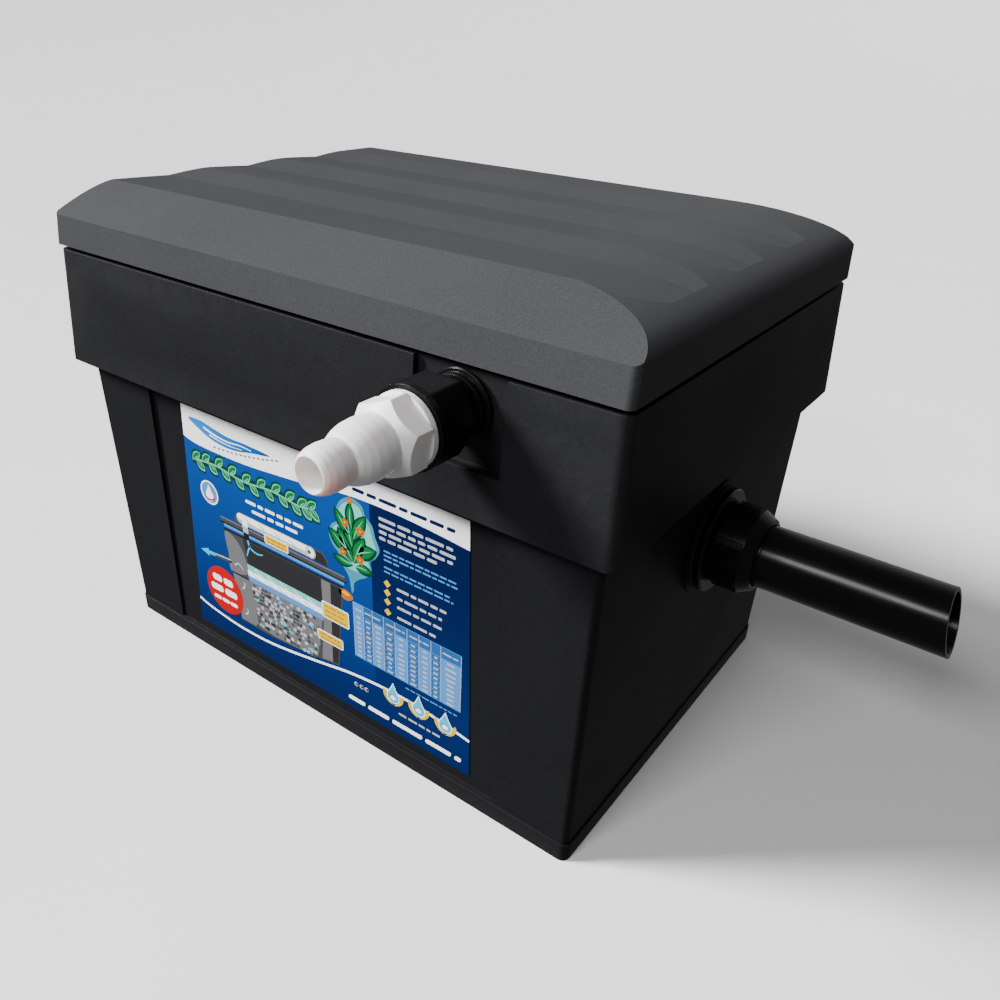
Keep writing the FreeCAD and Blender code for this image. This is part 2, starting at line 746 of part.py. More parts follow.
# The pipe's inner end is turned down a little, so that it enters the spigot freely.
outlet_pipe = new_body("outlet_pipe")
pipe_profile = new_sketch(outlet_pipe, "XZ_Plane", "pipe_profile")
add_loop(pipe_profile, [
    (S.pipe_radius - S.pipe_wall, 3.0),
    (S.pipe_radius - 0.3, 3.0),
    (S.pipe_radius - 0.3, 38.0),
    (S.pipe_radius, 38.6),
    (S.pipe_radius, S.pipe_end - S.outlet_face),
    (S.pipe_radius - S.pipe_wall, S.pipe_end - S.outlet_face),
])
turn(outlet_pipe, pipe_profile, "pipe_turned")
slant = new_sketch(outlet_pipe, "XZ_Plane", "pipe_slant", -30.0)
add_loop(slant, [
    (-23.0, S.pipe_end - S.outlet_face - 10.0),
    (S.pipe_radius, S.pipe_end - S.outlet_face),
    (23.0, S.pipe_end - S.outlet_face + 20.0),
    (-23.0, S.pipe_end - S.outlet_face + 20.0),
])
pocket(outlet_pipe, slant, 60.0, "pipe_end_cut", back=True)
place(outlet_pipe, OUTLET, OUT_RIGHT)
keep(outlet_pipe)

strainer = new_body("outlet_strainer")
cage = new_sketch(strainer, "XZ_Plane", "cage_profile")
add_loop(cage, [
    (0.0, -70.0),
    (S.outlet_spigot + 2.0, -70.0),
    (S.outlet_spigot + 2.0, -19.0),
    (S.outlet_spigot + 0.05, -19.0),
    (S.outlet_spigot + 0.05, -67.5),
    (0.0, -67.5),
])
turn(strainer, cage, "cage_turned")
slot = new_sketch(strainer, "XZ_Plane", "cage_slot", -40.0)
add_loop(slot, box_points(-2.0, -62.0, 2.0, -34.0))
slot_cut = pocket(strainer, slot, 40.0, "cage_slot_cut", back=False)
slots = strainer.newObject("PartDesign::PolarPattern", "cage_slots")
slots.Originals = [slot_cut]
slots.Axis = (cage, ["V_Axis"])
slots.Angle = 360
slots.Occurrences = 12
strainer.Tip = slots
place(strainer, OUTLET, OUT_RIGHT)
keep(strainer)

# ---------------------------------------------------------------- filter media stack
weir = new_body("weir_plate")
weir_outline = new_sketch(weir, "YZ_Plane", "weir_outline", S.weir_x)
add_loop(weir_outline, box_points(-153.4, S.tank_wall, 153.4, 262.0))
pad(weir, weir_outline, S.sheet_thick, "weir_sheet")
weir_gaps = new_sketch(weir, "YZ_Plane", "weir_gaps", S.weir_x - 2.0)
for i in range(5):
    start = -140.0 + 60.0 * i
    add_loop(weir_gaps, box_points(start, 8.0, start + 40.0, 27.0), "g%d" % i)
pocket(weir, weir_gaps, 10.0, "weir_gap_cut", back=True)
keep(weir)

grid = new_body("media_grid")
plate = new_sketch(grid, "XY_Plane", "grid_outline", S.grid_height - 6.0)
add_loop(plate, box_points(-S.foam_left, -S.foam_half_y, 146.0, S.foam_half_y))
pad(grid, plate, 6.0, "grid_plate")
legs = new_sketch(grid, "XY_Plane", "grid_legs", S.tank_wall)
for i, across in enumerate((-200.0, -38.0, 125.0)):
    for j, along in enumerate((-120.0, 120.0)):
        add_circle(legs, (across, along), 8.0, "l%d%d" % (i, j))
pad(grid, legs, 27.0, "grid_leg_pads")
bars = new_sketch(grid, "XY_Plane", "grid_slots", S.grid_height + 1.0)
for i in range(3):
    start = -140.0 + 97.0 * i
    add_loop(bars, box_points(-216.0, start, -208.0, start + 86.0), "b%d" % i)
bar_cut = pocket(grid, bars, 8.0, "grid_slot_cut")
bar_row = grid.newObject("PartDesign::LinearPattern", "grid_slot_row")
bar_row.Originals = [bar_cut]
bar_row.Direction = (bars, ["H_Axis"])
bar_row.Length = 345.0
bar_row.Occurrences = 24
grid.Tip = bar_row
keep(grid)

LEVEL = S.grid_height + 0.5
keep(rounded_block(
    "bio_media",
    (-S.foam_left + 1.0, -S.foam_half_y + 1.0, LEVEL),
    (S.foam_left + 144.0, (S.foam_half_y - 1.0) * 2.0, S.media_top - LEVEL),
    8.0,
))
for i, name in enumerate(("foam_fine", "foam_medium", "foam_coarse")):
    keep(block(
        name,
        (-S.foam_left, -S.foam_half_y, S.media_top + 1.0 + (S.foam_thick + 1.0) * i),
        (S.foam_left + 146.0, S.foam_half_y * 2.0, S.foam_thick),
    ))

tray = new_body("drip_tray")
TRAY = S.media_top + 2.0 + (S.foam_thick + 1.0) * 3.0
tray_plate = new_sketch(tray, "XY_Plane", "tray_outline", TRAY)
add_rounded(tray_plate, 178.0, 143.0, 10.0)
pad(tray, tray_plate, 11.0, "tray_block")
tray_well = new_sketch(tray, "XY_Plane", "tray_well", TRAY + 11.0)
add_rounded(tray_well, 175.5, 140.5, 8.0)
pocket(tray, tray_well, 8.5, "tray_hollow")
drops = new_sketch(tray, "XY_Plane", "tray_drops", TRAY + 5.0)
for i in range(9):
    add_circle(drops, (-160.0, -120.0 + 30.0 * i), 4.0, "d%d" % i)
drop_cut = pocket(tray, drops, 8.0, "tray_drop_cut")
drop_row = tray.newObject("PartDesign::LinearPattern", "tray_drop_row")
drop_row.Originals = [drop_cut]
drop_row.Direction = (drops, ["H_Axis"])
drop_row.Length = 320.0
drop_row.Occurrences = 12
tray.Tip = drop_row
place(tray, (-36.0, 0.0, 0.0))
keep(tray)

# ------------------------------------------------------------ ultraviolet lamp unit
LAMP = (0.0, -S.uv_y, S.uv_height)
housing = new_body("uv_housing")
shell = new_sketch(housing, "XZ_Plane", "housing_profile")
add_loop(shell, [
    (0.0, -S.uv_left),
    (S.uv_radius - 3.0, -S.uv_left),
    (S.uv_radius, -S.uv_left + 3.0),
    (S.uv_radius, S.uv_right - 12.0),
    (S.uv_radius + 3.0, S.uv_right - 12.0),
    (S.uv_radius + 3.0, S.uv_right),
    (S.uv_radius - 3.0, S.uv_right),
    (S.uv_radius - 3.0, -S.uv_left + 4.0),
    (0.0, -S.uv_left + 4.0),
])
turn(housing, shell, "housing_turned")
PORT = S.inlet_face - S.uv_y
inlet_port = new_sketch(housing, "XZ_Plane", "inlet_port", PORT - 27.0)
add_circle(inlet_port, (0.0, S.inlet_x), 20.0)
add_circle(inlet_port, (0.0, S.inlet_x), S.inlet_bore, "i")
pad(housing, inlet_port, 8.0, "inlet_port_pad")
inlet_neck = new_sketch(housing, "XZ_Plane", "inlet_neck", 22.0)
add_circle(inlet_neck, (0.0, S.inlet_x), 14.5)
pad(housing, inlet_neck, PORT - 48.0, "inlet_neck_pad")
inlet_way = new_sketch(housing, "XZ_Plane", "inlet_way", 15.0)
add_circle(inlet_way, (0.0, S.inlet_x), S.inlet_bore)
pocket(housing, inlet_way, 25.0, "inlet_way_cut", back=True)
inlet_socket = new_sketch(housing, "XZ_Plane", "inlet_socket", PORT - 27.0)
add_circle(inlet_socket, (0.0, S.inlet_x), S.inlet_spigot + 0.05)
pocket(housing, inlet_socket, 12.0, "inlet_socket_cut", back=True)
drop_port = new_sketch(housing, "YZ_Plane", "drop_port", 26.0)
add_circle(drop_port, (0.0, -160.0), 17.0)
pad(housing, drop_port, 23.0, "drop_port_pad")
drop_way = new_sketch(housing, "YZ_Plane", "drop_way", 10.0)
add_circle(drop_way, (0.0, -160.0), 13.0)
pocket(housing, drop_way, 45.0, "drop_way_cut", back=True)
place(housing, LAMP, OUT_RIGHT)
keep(housing)

keep(turned("sleeve_holder", [
    (S.sleeve_radius + 0.2, 160.0),
    (S.uv_radius - 3.05, 160.0),
    (S.uv_radius - 3.05, 176.0),
    (S.sleeve_radius + 4.2, 176.0),
    (S.sleeve_radius + 4.2, 170.0),
    (S.sleeve_radius + 0.2, 170.0),
], LAMP, OUT_RIGHT))
keep(turned("sleeve_seal", ring_outline(
    S.sleeve_radius + 0.05, S.sleeve_radius + 4.1, 170.0, 175.0, 0.8,
), LAMP, OUT_RIGHT))
keep(turned("quartz_sleeve", [
    (0.0, -165.0),
    (8.0, -165.0),
    (S.sleeve_radius, -161.0),
    (S.sleeve_radius, 181.0),
    (S.sleeve_radius - 1.5, 181.0),
    (S.sleeve_radius - 1.5, -160.3),
    (7.3, -163.5),
    (0.0, -163.5),
], LAMP, OUT_RIGHT))

lamp = new_body("uv_lamp")
foot = new_sketch(lamp, "XZ_Plane", "lamp_foot")
add_loop(foot, [(0.0, 166.0), (9.5, 166.0), (9.5, 186.0), (0.0, 186.0)])
turn(lamp, foot, "lamp_foot_turned")
limbs = new_sketch(lamp, "XY_Plane", "lamp_limbs", -150.0)
add_circle(limbs, (0.0, 4.8), 4.0, "u")
add_circle(limbs, (0.0, -4.8), 4.0, "d")
pad(lamp, limbs, 317.0, "lamp_limb_pads")
bridge = new_sketch(lamp, "XY_Plane", "lamp_bridge", -143.0)
add_loop(bridge, box_points(-2.5, -4.0, 2.5, 4.0))
pad(lamp, bridge, 5.0, "lamp_bridge_pad")
place(lamp, LAMP, OUT_RIGHT)
keep(lamp)

keep(turned("lamp_socket", [
    (0.0, 186.0),
    (14.0, 186.0),
    (14.0, 200.0),
    (17.0, 201.0),
    (17.0, 208.0),
    (0.0, 208.0),
], LAMP, OUT_RIGHT))
cap = new_body("uv_cap")
cap_profile = new_sketch(cap, "XZ_Plane", "cap_profile")
add_loop(cap_profile, [
    (S.uv_radius + 3.4, 163.0),
    (S.uv_radius + 6.5, 163.0),
    (S.uv_radius + 6.5, 196.0),
    (S.uv_radius, 212.0),
    (0.0, 212.0),
    (0.0, 208.0),
    (S.uv_radius - 2.0, 208.0),
    (S.uv_radius + 3.4, 194.0),
])
turn(cap, cap_profile, "cap_turned")
cap_rib = new_sketch(cap, "XY_Plane", "cap_rib", 166.0)
add_loop(cap_rib, box_points(S.uv_radius + 5.0, -2.0, S.uv_radius + 8.0, 2.0))
cap_rib_pad = pad(cap, cap_rib, 26.0, "cap_rib_pad")
cap_ribs = cap.newObject("PartDesign::PolarPattern", "cap_ribs")
cap_ribs.Originals = [cap_rib_pad]
cap_ribs.Axis = (cap_rib, ["N_Axis"])
cap_ribs.Angle = 360
cap_ribs.Occurrences = 10
cap.Tip = cap_ribs
place(cap, LAMP, OUT_RIGHT)
keep(cap)

# cross beams with a saddle each, straps over the housing and their screws
SADDLE = 42.0
for side, middle_x in (("left", -120.0), ("right", 60.0)):
    beam = new_body("cradle_" + side)
    beam_outline = new_sketch(beam, "YZ_Plane", "beam_outline_" + side, middle_x - 5.0)
    add_loop(beam_outline, [
        (-154.6, S.cradle_base),
        (154.6, S.cradle_base),
        (154.6, S.cradle_base + 10.0),
        (-S.uv_y + SADDLE, S.cradle_base + 10.0),
        (-S.uv_y + SADDLE, S.uv_height),
        (-S.uv_y - SADDLE, S.uv_height),
        (-S.uv_y - SADDLE, S.cradle_base + 10.0),
        (-154.6, S.cradle_base + 10.0),
    ])
    pad(beam, beam_outline, S.cradle_thick, "beam_" + side)
    seat = new_sketch(beam, "YZ_Plane", "beam_seat_" + side, middle_x - 7.0)
    add_circle(seat, (-S.uv_y, S.uv_height), S.uv_radius + 0.05)
    pocket(beam, seat, 14.0, "beam_seat_cut_" + side, back=True)
    holes = new_sketch(beam, "XY_Plane", "beam_holes_" + side, S.uv_height + 1.0)
    add_circle(holes, (middle_x, -S.uv_y - 38.0), 1.9, "n")
    add_circle(holes, (middle_x, -S.uv_y + 38.0), 1.9, "f")
    pocket(beam, holes, 15.0, "beam_hole_cut_" + side)
    keep(beam)

    strap = new_body("strap_" + side)
    ears = new_sketch(strap, "YZ_Plane", "strap_ears_" + side, middle_x - 5.0)
    add_loop(ears, box_points(
        -S.uv_y - SADDLE, S.uv_height,
        -S.uv_y + SADDLE, S.uv_height + 3.5,
    ))
    pad(strap, ears, S.cradle_thick, "strap_ear_pad_" + side)
    hoop = new_sketch(strap, "YZ_Plane", "strap_hoop_" + side, middle_x - 5.0)
    add_circle(hoop, (-S.uv_y, S.uv_height), S.uv_radius + 3.5)
    pad(strap, hoop, S.cradle_thick, "strap_hoop_pad_" + side)
    inside = new_sketch(strap, "YZ_Plane", "strap_inside_" + side, middle_x - 7.0)
    add_circle(inside, (-S.uv_y, S.uv_height), S.uv_radius + 0.05)
    pocket(strap, inside, 14.0, "strap_inside_cut_" + side, back=True)
    below = new_sketch(strap, "YZ_Plane", "strap_below_" + side, middle_x - 7.0)
    add_loop(below, box_points(-S.uv_y - 50.0, S.uv_height - 50.0, -S.uv_y + 50.0, S.uv_height))
    pocket(strap, below, 14.0, "strap_below_cut_" + side, back=True)
    ways = new_sketch(strap, "XY_Plane", "strap_holes_" + side, S.uv_height + 6.0)
    add_circle(ways, (middle_x, -S.uv_y - 38.0), 2.1, "n")
    add_circle(ways, (middle_x, -S.uv_y + 38.0), 2.1, "f")
    pocket(strap, ways, 10.0, "strap_hole_cut_" + side)
    keep(strap)

    for tag, shift in (("front", -38.0), ("back", 38.0)):
        keep(turned("strap_screw_%s_%s" % (side, tag), [
            (0.0, -14.0),
            (1.2, -14.0),
            (1.85, -12.5),
            (1.85, 0.0),
            (4.2, 0.0),
            (4.2, 1.6),
            (2.8, 2.8),
            (1.2, 2.8),
            (1.2, 1.4),
            (0.0, 1.4),
        ], (middle_x, -S.uv_y + shift, S.uv_height + 3.5)))

# ----------------------------------------------------------------------- cable gland
GLAND = (S.gland_x, S.gland_face, S.gland_height)
gland = new_body("cable_gland")
gland_profile = new_sketch(gland, "XZ_Plane", "gland_profile")
add_loop(gland_profile, [
    (S.gland_bore, -15.0),
    (8.0, -15.0),
    (8.0, 0.0),
    (10.0, 0.0),
    (10.0, 6.0),
    (9.0, 6.0),
    (9.0, 14.0),
    (S.gland_bore, 14.0),
])
turn(gland, gland_profile, "gland_turned")
gland_hex = new_sketch(gland, "XY_Plane", "gland_hex", 0.0)
add_loop(gland_hex, hexagon(S.gland_hex, 0.0))
add_circle(gland_hex, (0, 0), 9.0)
pad(gland, gland_hex, 6.0, "gland_hex_pad")
place(gland, GLAND, OUT_BACK)
keep(gland)
keep(hex_nut("gland_locknut", 12.0, 8.05, -11.4, -6.4, GLAND, OUT_BACK))
keep(turned("gland_nut", [
    (9.05, 6.5),
    (11.6, 6.5),
    (11.6, 14.0),
    (8.0, 19.5),
    (S.gland_bore + 0.2, 19.5),
    (S.gland_bore + 0.2, 14.5),
    (9.05, 14.5),
], GLAND, OUT_BACK))

# --------------------------------------------------------------------- check and save
doc.recompute()
troubled = [item.Name for item in doc.Objects if "Invalid" in item.State or "Error" in item.State]
if troubled:
    raise RuntimeError("features that failed: %s" % ", ".join(troubled))
for item in PARTS:
    shape = item.Shape
    if shape.isNull() or not shape.isValid() or len(shape.Solids) != 1:
        raise RuntimeError("bad shape in %s (%d solids)" % (item.Label, len(shape.Solids)))

os.makedirs("parts", exist_ok=True)
for item in PARTS:
    item.Shape.exportStep("parts/%s.step" % item.Label)
print("%d sub-parts written" % len(PARTS))
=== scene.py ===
import itertools
import math
import random

import bmesh
import bpy
from mathutils import Euler, Matrix, Vector, noise


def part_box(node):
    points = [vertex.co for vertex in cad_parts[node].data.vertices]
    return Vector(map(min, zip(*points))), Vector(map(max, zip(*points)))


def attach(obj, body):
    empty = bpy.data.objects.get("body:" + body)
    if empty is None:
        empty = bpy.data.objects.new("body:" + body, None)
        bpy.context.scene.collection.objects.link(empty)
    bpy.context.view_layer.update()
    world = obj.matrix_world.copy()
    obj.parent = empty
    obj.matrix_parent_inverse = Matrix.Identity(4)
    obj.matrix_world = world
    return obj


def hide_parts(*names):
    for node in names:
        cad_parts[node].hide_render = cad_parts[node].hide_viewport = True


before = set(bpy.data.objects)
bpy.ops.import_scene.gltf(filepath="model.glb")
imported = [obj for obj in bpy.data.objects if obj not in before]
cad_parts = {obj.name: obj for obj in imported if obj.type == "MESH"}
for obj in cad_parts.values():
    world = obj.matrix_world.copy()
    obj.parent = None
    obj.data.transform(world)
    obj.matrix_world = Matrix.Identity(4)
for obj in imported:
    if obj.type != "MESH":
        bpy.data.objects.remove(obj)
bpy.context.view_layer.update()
random.seed(11)
MM = 0.001


# ------------------------------------------------------------------ camera
# the view of the photograph: millimetres for the lens, degrees, metres in the frame
FOCAL_LENGTH = 31.16
SENSOR_WIDTH = 36
FRAME_SHIFT = (0.02, 0.03)
CLIP_RANGE = (0.01, 50)
HEADING, TILT, ROLL = 35.687, 30.795, 2.209
CAMERA_PLACE = (0.4015, -0.5082, 0.4844)


def look_from(azimuth, elevation, roll, position):
    """Camera matrix from its heading, its downward tilt and its roll, in degrees."""
    az, el, ro = (math.radians(a) for a in (azimuth, elevation, roll))
    ahead = Vector((-math.sin(az) * math.cos(el), math.cos(az) * math.cos(el), -math.sin(el)))
    right = Vector((math.cos(az), math.sin(az), 0))
    up = right.cross(ahead)
    side = math.cos(ro) * right + math.sin(ro) * up
    top = -math.sin(ro) * right + math.cos(ro) * up
    turn = Matrix((side, top, -ahead)).transposed()
    return Matrix.Translation(position) @ turn.to_4x4()


lens = bpy.data.cameras.new("camera")
camera = bpy.data.objects.new("camera", lens)
bpy.context.collection.objects.link(camera)
lens.lens = FOCAL_LENGTH
lens.sensor_width = SENSOR_WIDTH
lens.shift_x, lens.shift_y = FRAME_SHIFT
lens.clip_start, lens.clip_end = CLIP_RANGE
camera.matrix_world = look_from(HEADING, TILT, ROLL, CAMERA_PLACE)
bpy.context.scene.camera = camera


# --------------------------------------------------------------- materials
class Nodes:
    """Small helper that builds one material's node tree."""

    def __init__(self, name):
        self.mat = bpy.data.materials.new(name)
        self.mat.use_nodes = True
        self.tree = self.mat.node_tree
        self.bsdf = self.tree.nodes["Principled BSDF"]
        self.coords = self.new("ShaderNodeTexCoord").outputs["Object"]

    def new(self, kind, **settings):
        node = self.tree.nodes.new(kind)
        for key, value in settings.items():
            setattr(node, key, value)
        return node

    def link(self, source, target):
        self.tree.links.new(source, target)
        return target

    def noise(self, scale, detail=3.0, rough=0.55, stretch=None):
        node = self.new("ShaderNodeTexNoise")
        node.inputs["Scale"].default_value = scale
        node.inputs["Detail"].default_value = detail
        node.inputs["Roughness"].default_value = rough
        self.link(self.scaled(stretch) if stretch else self.coords, node.inputs["Vector"])
        return node.outputs["Fac"]

    def cells(self, scale):
        node = self.new("ShaderNodeTexVoronoi", feature="F1")
        node.inputs["Scale"].default_value = scale
        self.link(self.coords, node.inputs["Vector"])
        return node.outputs["Distance"]

    def scaled(self, stretch):
        node = self.new("ShaderNodeMapping")
        node.inputs["Scale"].default_value = stretch
        self.link(self.coords, node.inputs["Vector"])
        return node.outputs["Vector"]

    def span(self, value, low, high, to_low=0.0, to_high=1.0):
        node = self.new("ShaderNodeMapRange")
        self.link(value, node.inputs["Value"])
        for key, number in (("From Min", low), ("From Max", high), ("To Min", to_low), ("To Max", to_high)):
            node.inputs[key].default_value = number
        return node.outputs["Result"]

    def math(self, operation, first, second):
        node = self.new("ShaderNodeMath", operation=operation)
        for socket, value in zip(node.inputs, (first, second)):
            if hasattr(value, "default_value"):
                self.link(value, socket)
            else:
                socket.default_value = value
        return node.outputs["Value"]

    def mix(self, factor, first, second):
        node = self.new("ShaderNodeMix", data_type="RGBA")
        self.link(factor, node.inputs["Factor"])
        for key, value in ((6, first), (7, second)):
            if hasattr(value, "default_value"):
                self.link(value, node.inputs[key])
            else:
                node.inputs[key].default_value = tuple(value) + (1.0,)
        return node.outputs[2]

    def bump(self, height, distance, strength=1.0, under=None):
        node = self.new("ShaderNodeBump")
        node.inputs["Distance"].default_value = distance
        node.inputs["Strength"].default_value = strength
        self.link(height, node.inputs["Height"])
        if under is not None:
            self.link(under, node.inputs["Normal"])
        return node.outputs["Normal"]

    def round_edges(self, radius):
        node = self.new("ShaderNodeBevel", samples=4)
        node.inputs["Radius"].default_value = radius
        return node.outputs["Normal"]

    def set(self, **values):
        for key, value in values.items():
            socket = self.bsdf.inputs[key.replace("_", " ")]
            if hasattr(value, "default_value"):
                self.link(value, socket)
            elif isinstance(value, (tuple, list)):
                socket.default_value = tuple(value) + (1.0,) * (4 - len(value))
            else:
                socket.default_value = value
        return self


def moulded(name, dark, light, rough, grain=900.0, depth=0.00012, edge=0.0008, wear=0.0, gloss=0.3):
    """Injection-moulded plastic: fine grain, faint blotches, softly rounded edges."""
    n = Nodes(name)
    fine = n.noise(grain, 4.0, 0.7)
    blotch = n.noise(9.0, 3.0, 0.5)
    colour = n.mix(n.span(fine, 0.3, 0.7), dark, light)
    colour = n.mix(n.span(blotch, 0.35, 0.75, 0.0, 0.35), colour, light)
    if wear:
        rub = n.new("ShaderNodeNewGeometry").outputs["Pointiness"]
        rub = n.math("MULTIPLY", n.span(rub, 0.52, 0.6, 0.0, wear), n.noise(60.0, 4.0, 0.7))
        colour = n.mix(rub, colour, [min(1.0, c * 3.0 + 0.03) for c in light])
    under = n.round_edges(edge) if edge else None
    shine = n.span(fine, 0.2, 0.8, rough - 0.05, rough + 0.05)
    shine = n.math("ADD", shine, n.span(blotch, 0.3, 0.7, -0.03, 0.04))
    n.set(Base_Color=colour, Roughness=shine, Normal=n.bump(fine, depth, 0.6, under))
    return n.set(Specular_IOR_Level=gloss).mat


def glossy(name, dark, light, rough, edge=0.0006, streak=None, gloss=0.5):
    """Smooth plastic with a faint haze, drawn out along one axis where streak says so."""
    n = Nodes(name)
    haze = n.noise(40.0, 4.0, 0.6, streak)
    swirl = n.noise(520.0, 2.0, 0.5, streak)
    colour = n.mix(n.span(haze, 0.3, 0.7), dark, light)
    shine = n.span(n.math("ADD", haze, swirl), 0.7, 1.3, rough - 0.03, rough + 0.08)
    normal = n.bump(swirl, 0.00004, 0.5, n.round_edges(edge))
    return n.set(Base_Color=colour, Roughness=shine, Normal=normal, Specular_IOR_Level=gloss).mat


def nylon(name):
    """White nylon: milky, soft sheen, faint mould swirl."""
    n = Nodes(name)
    cloud = n.noise(55.0, 4.0, 0.6)
    grit = n.noise(1400.0, 3.0, 0.6)
    colour = n.mix(n.span(cloud, 0.3, 0.7), (0.80, 0.80, 0.79), (0.90, 0.90, 0.89))
    shine = n.span(grit, 0.3, 0.7, 0.36, 0.46)
    normal = n.bump(n.math("ADD", cloud, grit), 0.00006, 0.5, n.round_edges(0.0009))
    n.set(Base_Color=colour, Roughness=shine, Normal=normal, Subsurface_Weight=0.35, Subsurface_Scale=0.006)
    return n.mat


def rubber(name):
    """Matt black rubber with a pale bloom in patches."""
    n = Nodes(name)
    grit = n.noise(1600.0, 3.0, 0.7)
    bloom = n.noise(70.0, 4.0, 0.6)
    colour = n.mix(n.span(bloom, 0.4, 0.8, 0.0, 0.8), (0.012, 0.012, 0.012), (0.035, 0.034, 0.033))
    return n.set(
        Base_Color=colour,
        Roughness=n.span(grit, 0.2, 0.8, 0.6, 0.8),
        Normal=n.bump(grit, 0.0001, 0.6, n.round_edges(0.0004)),
    ).mat


def steel(name):
    """Turned steel with fine lines along the screw."""
    n = Nodes(name)
    lines = n.noise(900.0, 3.0, 0.6, (1.0, 1.0, 0.05))
    tone = n.noise(120.0, 3.0, 0.5)
    return n.set(
        Base_Color=n.mix(n.span(tone, 0.3, 0.7), (0.42, 0.42, 0.42), (0.62, 0.61, 0.60)),
        Metallic=1.0,
        Roughness=n.span(lines, 0.2, 0.8, 0.22, 0.42),
        Normal=n.bump(lines, 0.00003, 0.5, n.round_edges(0.0002)),
    ).mat


def clear(name, tint, rough, transmission):
    """Glass with faint smears; a low transmission makes it milky."""
    n = Nodes(name)
    smear = n.noise(35.0, 4.0, 0.6)
    return n.set(
        Base_Color=n.mix(n.span(smear, 0.3, 0.7), tint, [min(1.0, c * 1.04) for c in tint]),
        Roughness=n.span(smear, 0.3, 0.7, rough, rough + 0.05),
        Normal=n.bump(smear, 0.0001, 0.3),
        Transmission_Weight=transmission,
        IOR=1.46,
    ).mat


def foam(name, dark, light, pore):
    """Open-cell foam: round pores of the given size per metre, with painted shade inside each pore."""
    n = Nodes(name)
    cell = n.cells(pore)
    lump = n.noise(30.0, 3.0, 0.6)
    depth = n.span(cell, 0.05, 0.5)
    # painted shade: each pore is darkened towards its centre, where the dent is deepest
    colour = n.mix(depth, [c * 0.25 for c in dark], light)
    colour = n.mix(n.span(lump, 0.35, 0.75, 0.0, 0.5), colour, dark)
    return n.set(
        Base_Color=colour,
        Roughness=0.95,
        Normal=n.bump(n.math("ADD", depth, lump), 0.0012, 0.9),
        Sheen_Weight=0.25,
        Sheen_Roughness=0.6,
    ).mat


def ceramic(name, dark, light):
    """Fired clay with pits darkened by painted shade."""
    n = Nodes(name)
    pits = n.cells(1100.0)
    tone = n.noise(160.0, 4.0, 0.7)
    colour = n.mix(n.span(tone, 0.3, 0.7), dark, light)
    # painted shade: the clay is darkened in each pit, where the bump dents it
    colour = n.mix(n.span(pits, 0.0, 0.35, 0.7, 0.0), colour, [c * 0.3 for c in dark])
    return n.set(Base_Color=colour, Roughness=0.85, Normal=n.bump(pits, 0.0003, 0.8)).mat


def ink(name, colour, rough=0.38, second=None, axis=None, low=0.0, high=1.0):
    """Printed ink on film: a trace of screen noise, and a gradient along one axis if asked."""
    n = Nodes("ink_" + name)
    grain = n.noise(1500.0, 2.0, 0.6)
    wave = n.noise(14.0, 2.0, 0.5)
    dark, light = [c * 0.93 for c in colour], [min(1.0, c * 1.05) for c in colour]
    base = n.mix(n.span(grain, 0.35, 0.65), dark, light)
    if second:
        split = n.new("ShaderNodeSeparateXYZ")
        n.link(n.coords, split.inputs["Vector"])
        base = n.mix(n.span(split.outputs[axis], low, high), base, second)
    shine = n.span(wave, 0.3, 0.7, rough - 0.05, rough + 0.07)
    n.set(Base_Color=base, Roughness=shine, Normal=n.bump(grain, 0.00002, 0.4))
    return n.set(Specular_IOR_Level=0.12).mat


JET = ((0.002, 0.002, 0.0022), (0.005, 0.005, 0.0055))
ALONG_PIPE = (0.06, 1.0, 1.0)
BODY = moulded("black_body", (0.0045, 0.0047, 0.0053), (0.0110, 0.0112, 0.0124), 0.5, wear=0.2, gloss=0.07)
LID = moulded("black_lid", (0.028, 0.0287, 0.0308), (0.046, 0.0468, 0.0500), 0.55, edge=0.0, gloss=0.05)
FITTING = glossy("black_fitting", *JET, 0.24, 0.0008, gloss=0.14)
PIPE = glossy("black_pipe", *JET, 0.22, 0.0006, ALONG_PIPE, 0.16)
GREY_PLASTIC = moulded("grey_plastic", (0.11, 0.12, 0.13), (0.17, 0.18, 0.19), 0.5, 700.0)
HOUSING = moulded("housing_plastic", (0.02, 0.02, 0.022), (0.05, 0.05, 0.055), 0.36, 800.0, 0.00008)
GLAND = moulded("gland_plastic", (0.012, 0.012, 0.013), (0.03, 0.03, 0.032), 0.4, 1200.0)
RUBBER = rubber("seal_rubber")
NYLON = nylon("white_nylon")
STEEL = steel("screw_steel")
QUARTZ = clear("quartz", (0.93, 0.96, 0.98), 0.03, 0.92)
LAMP = clear("lamp_glass", (0.88, 0.90, 0.96), 0.25, 0.45)
SOCKET = glossy("socket_white", (0.72, 0.71, 0.67), (0.82, 0.81, 0.77), 0.3)
LABEL = ink("film", (0.0, 0.045, 0.235), second=(0.0, 0.014, 0.090), axis="Z", low=0.19, high=0.05)

FINISH = {
    "tank": BODY,
    "front_label": LABEL,
    "lid": LID,
    "hosetail": NYLON,
    "outlet_pipe": PIPE,
    "quartz_sleeve": QUARTZ,
    "uv_lamp": LAMP,
    "lamp_socket": SOCKET,
    "uv_housing": HOUSING,
    "sleeve_holder": HOUSING,
    "uv_cap": HOUSING,
}
for node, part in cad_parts.items():
    finish = FINISH.get(node)
    if finish is None:
        if node.startswith("strap_screw"):
            finish = STEEL
        elif "washer" in node or "seal" in node:
            finish = RUBBER
        elif node.startswith(("inlet", "outlet")):
            finish = FITTING
        elif "gland" in node:
            finish = GLAND
        else:
            finish = GREY_PLASTIC
    for slot in part.material_slots:
        slot.link = "OBJECT"
        slot.material = finish


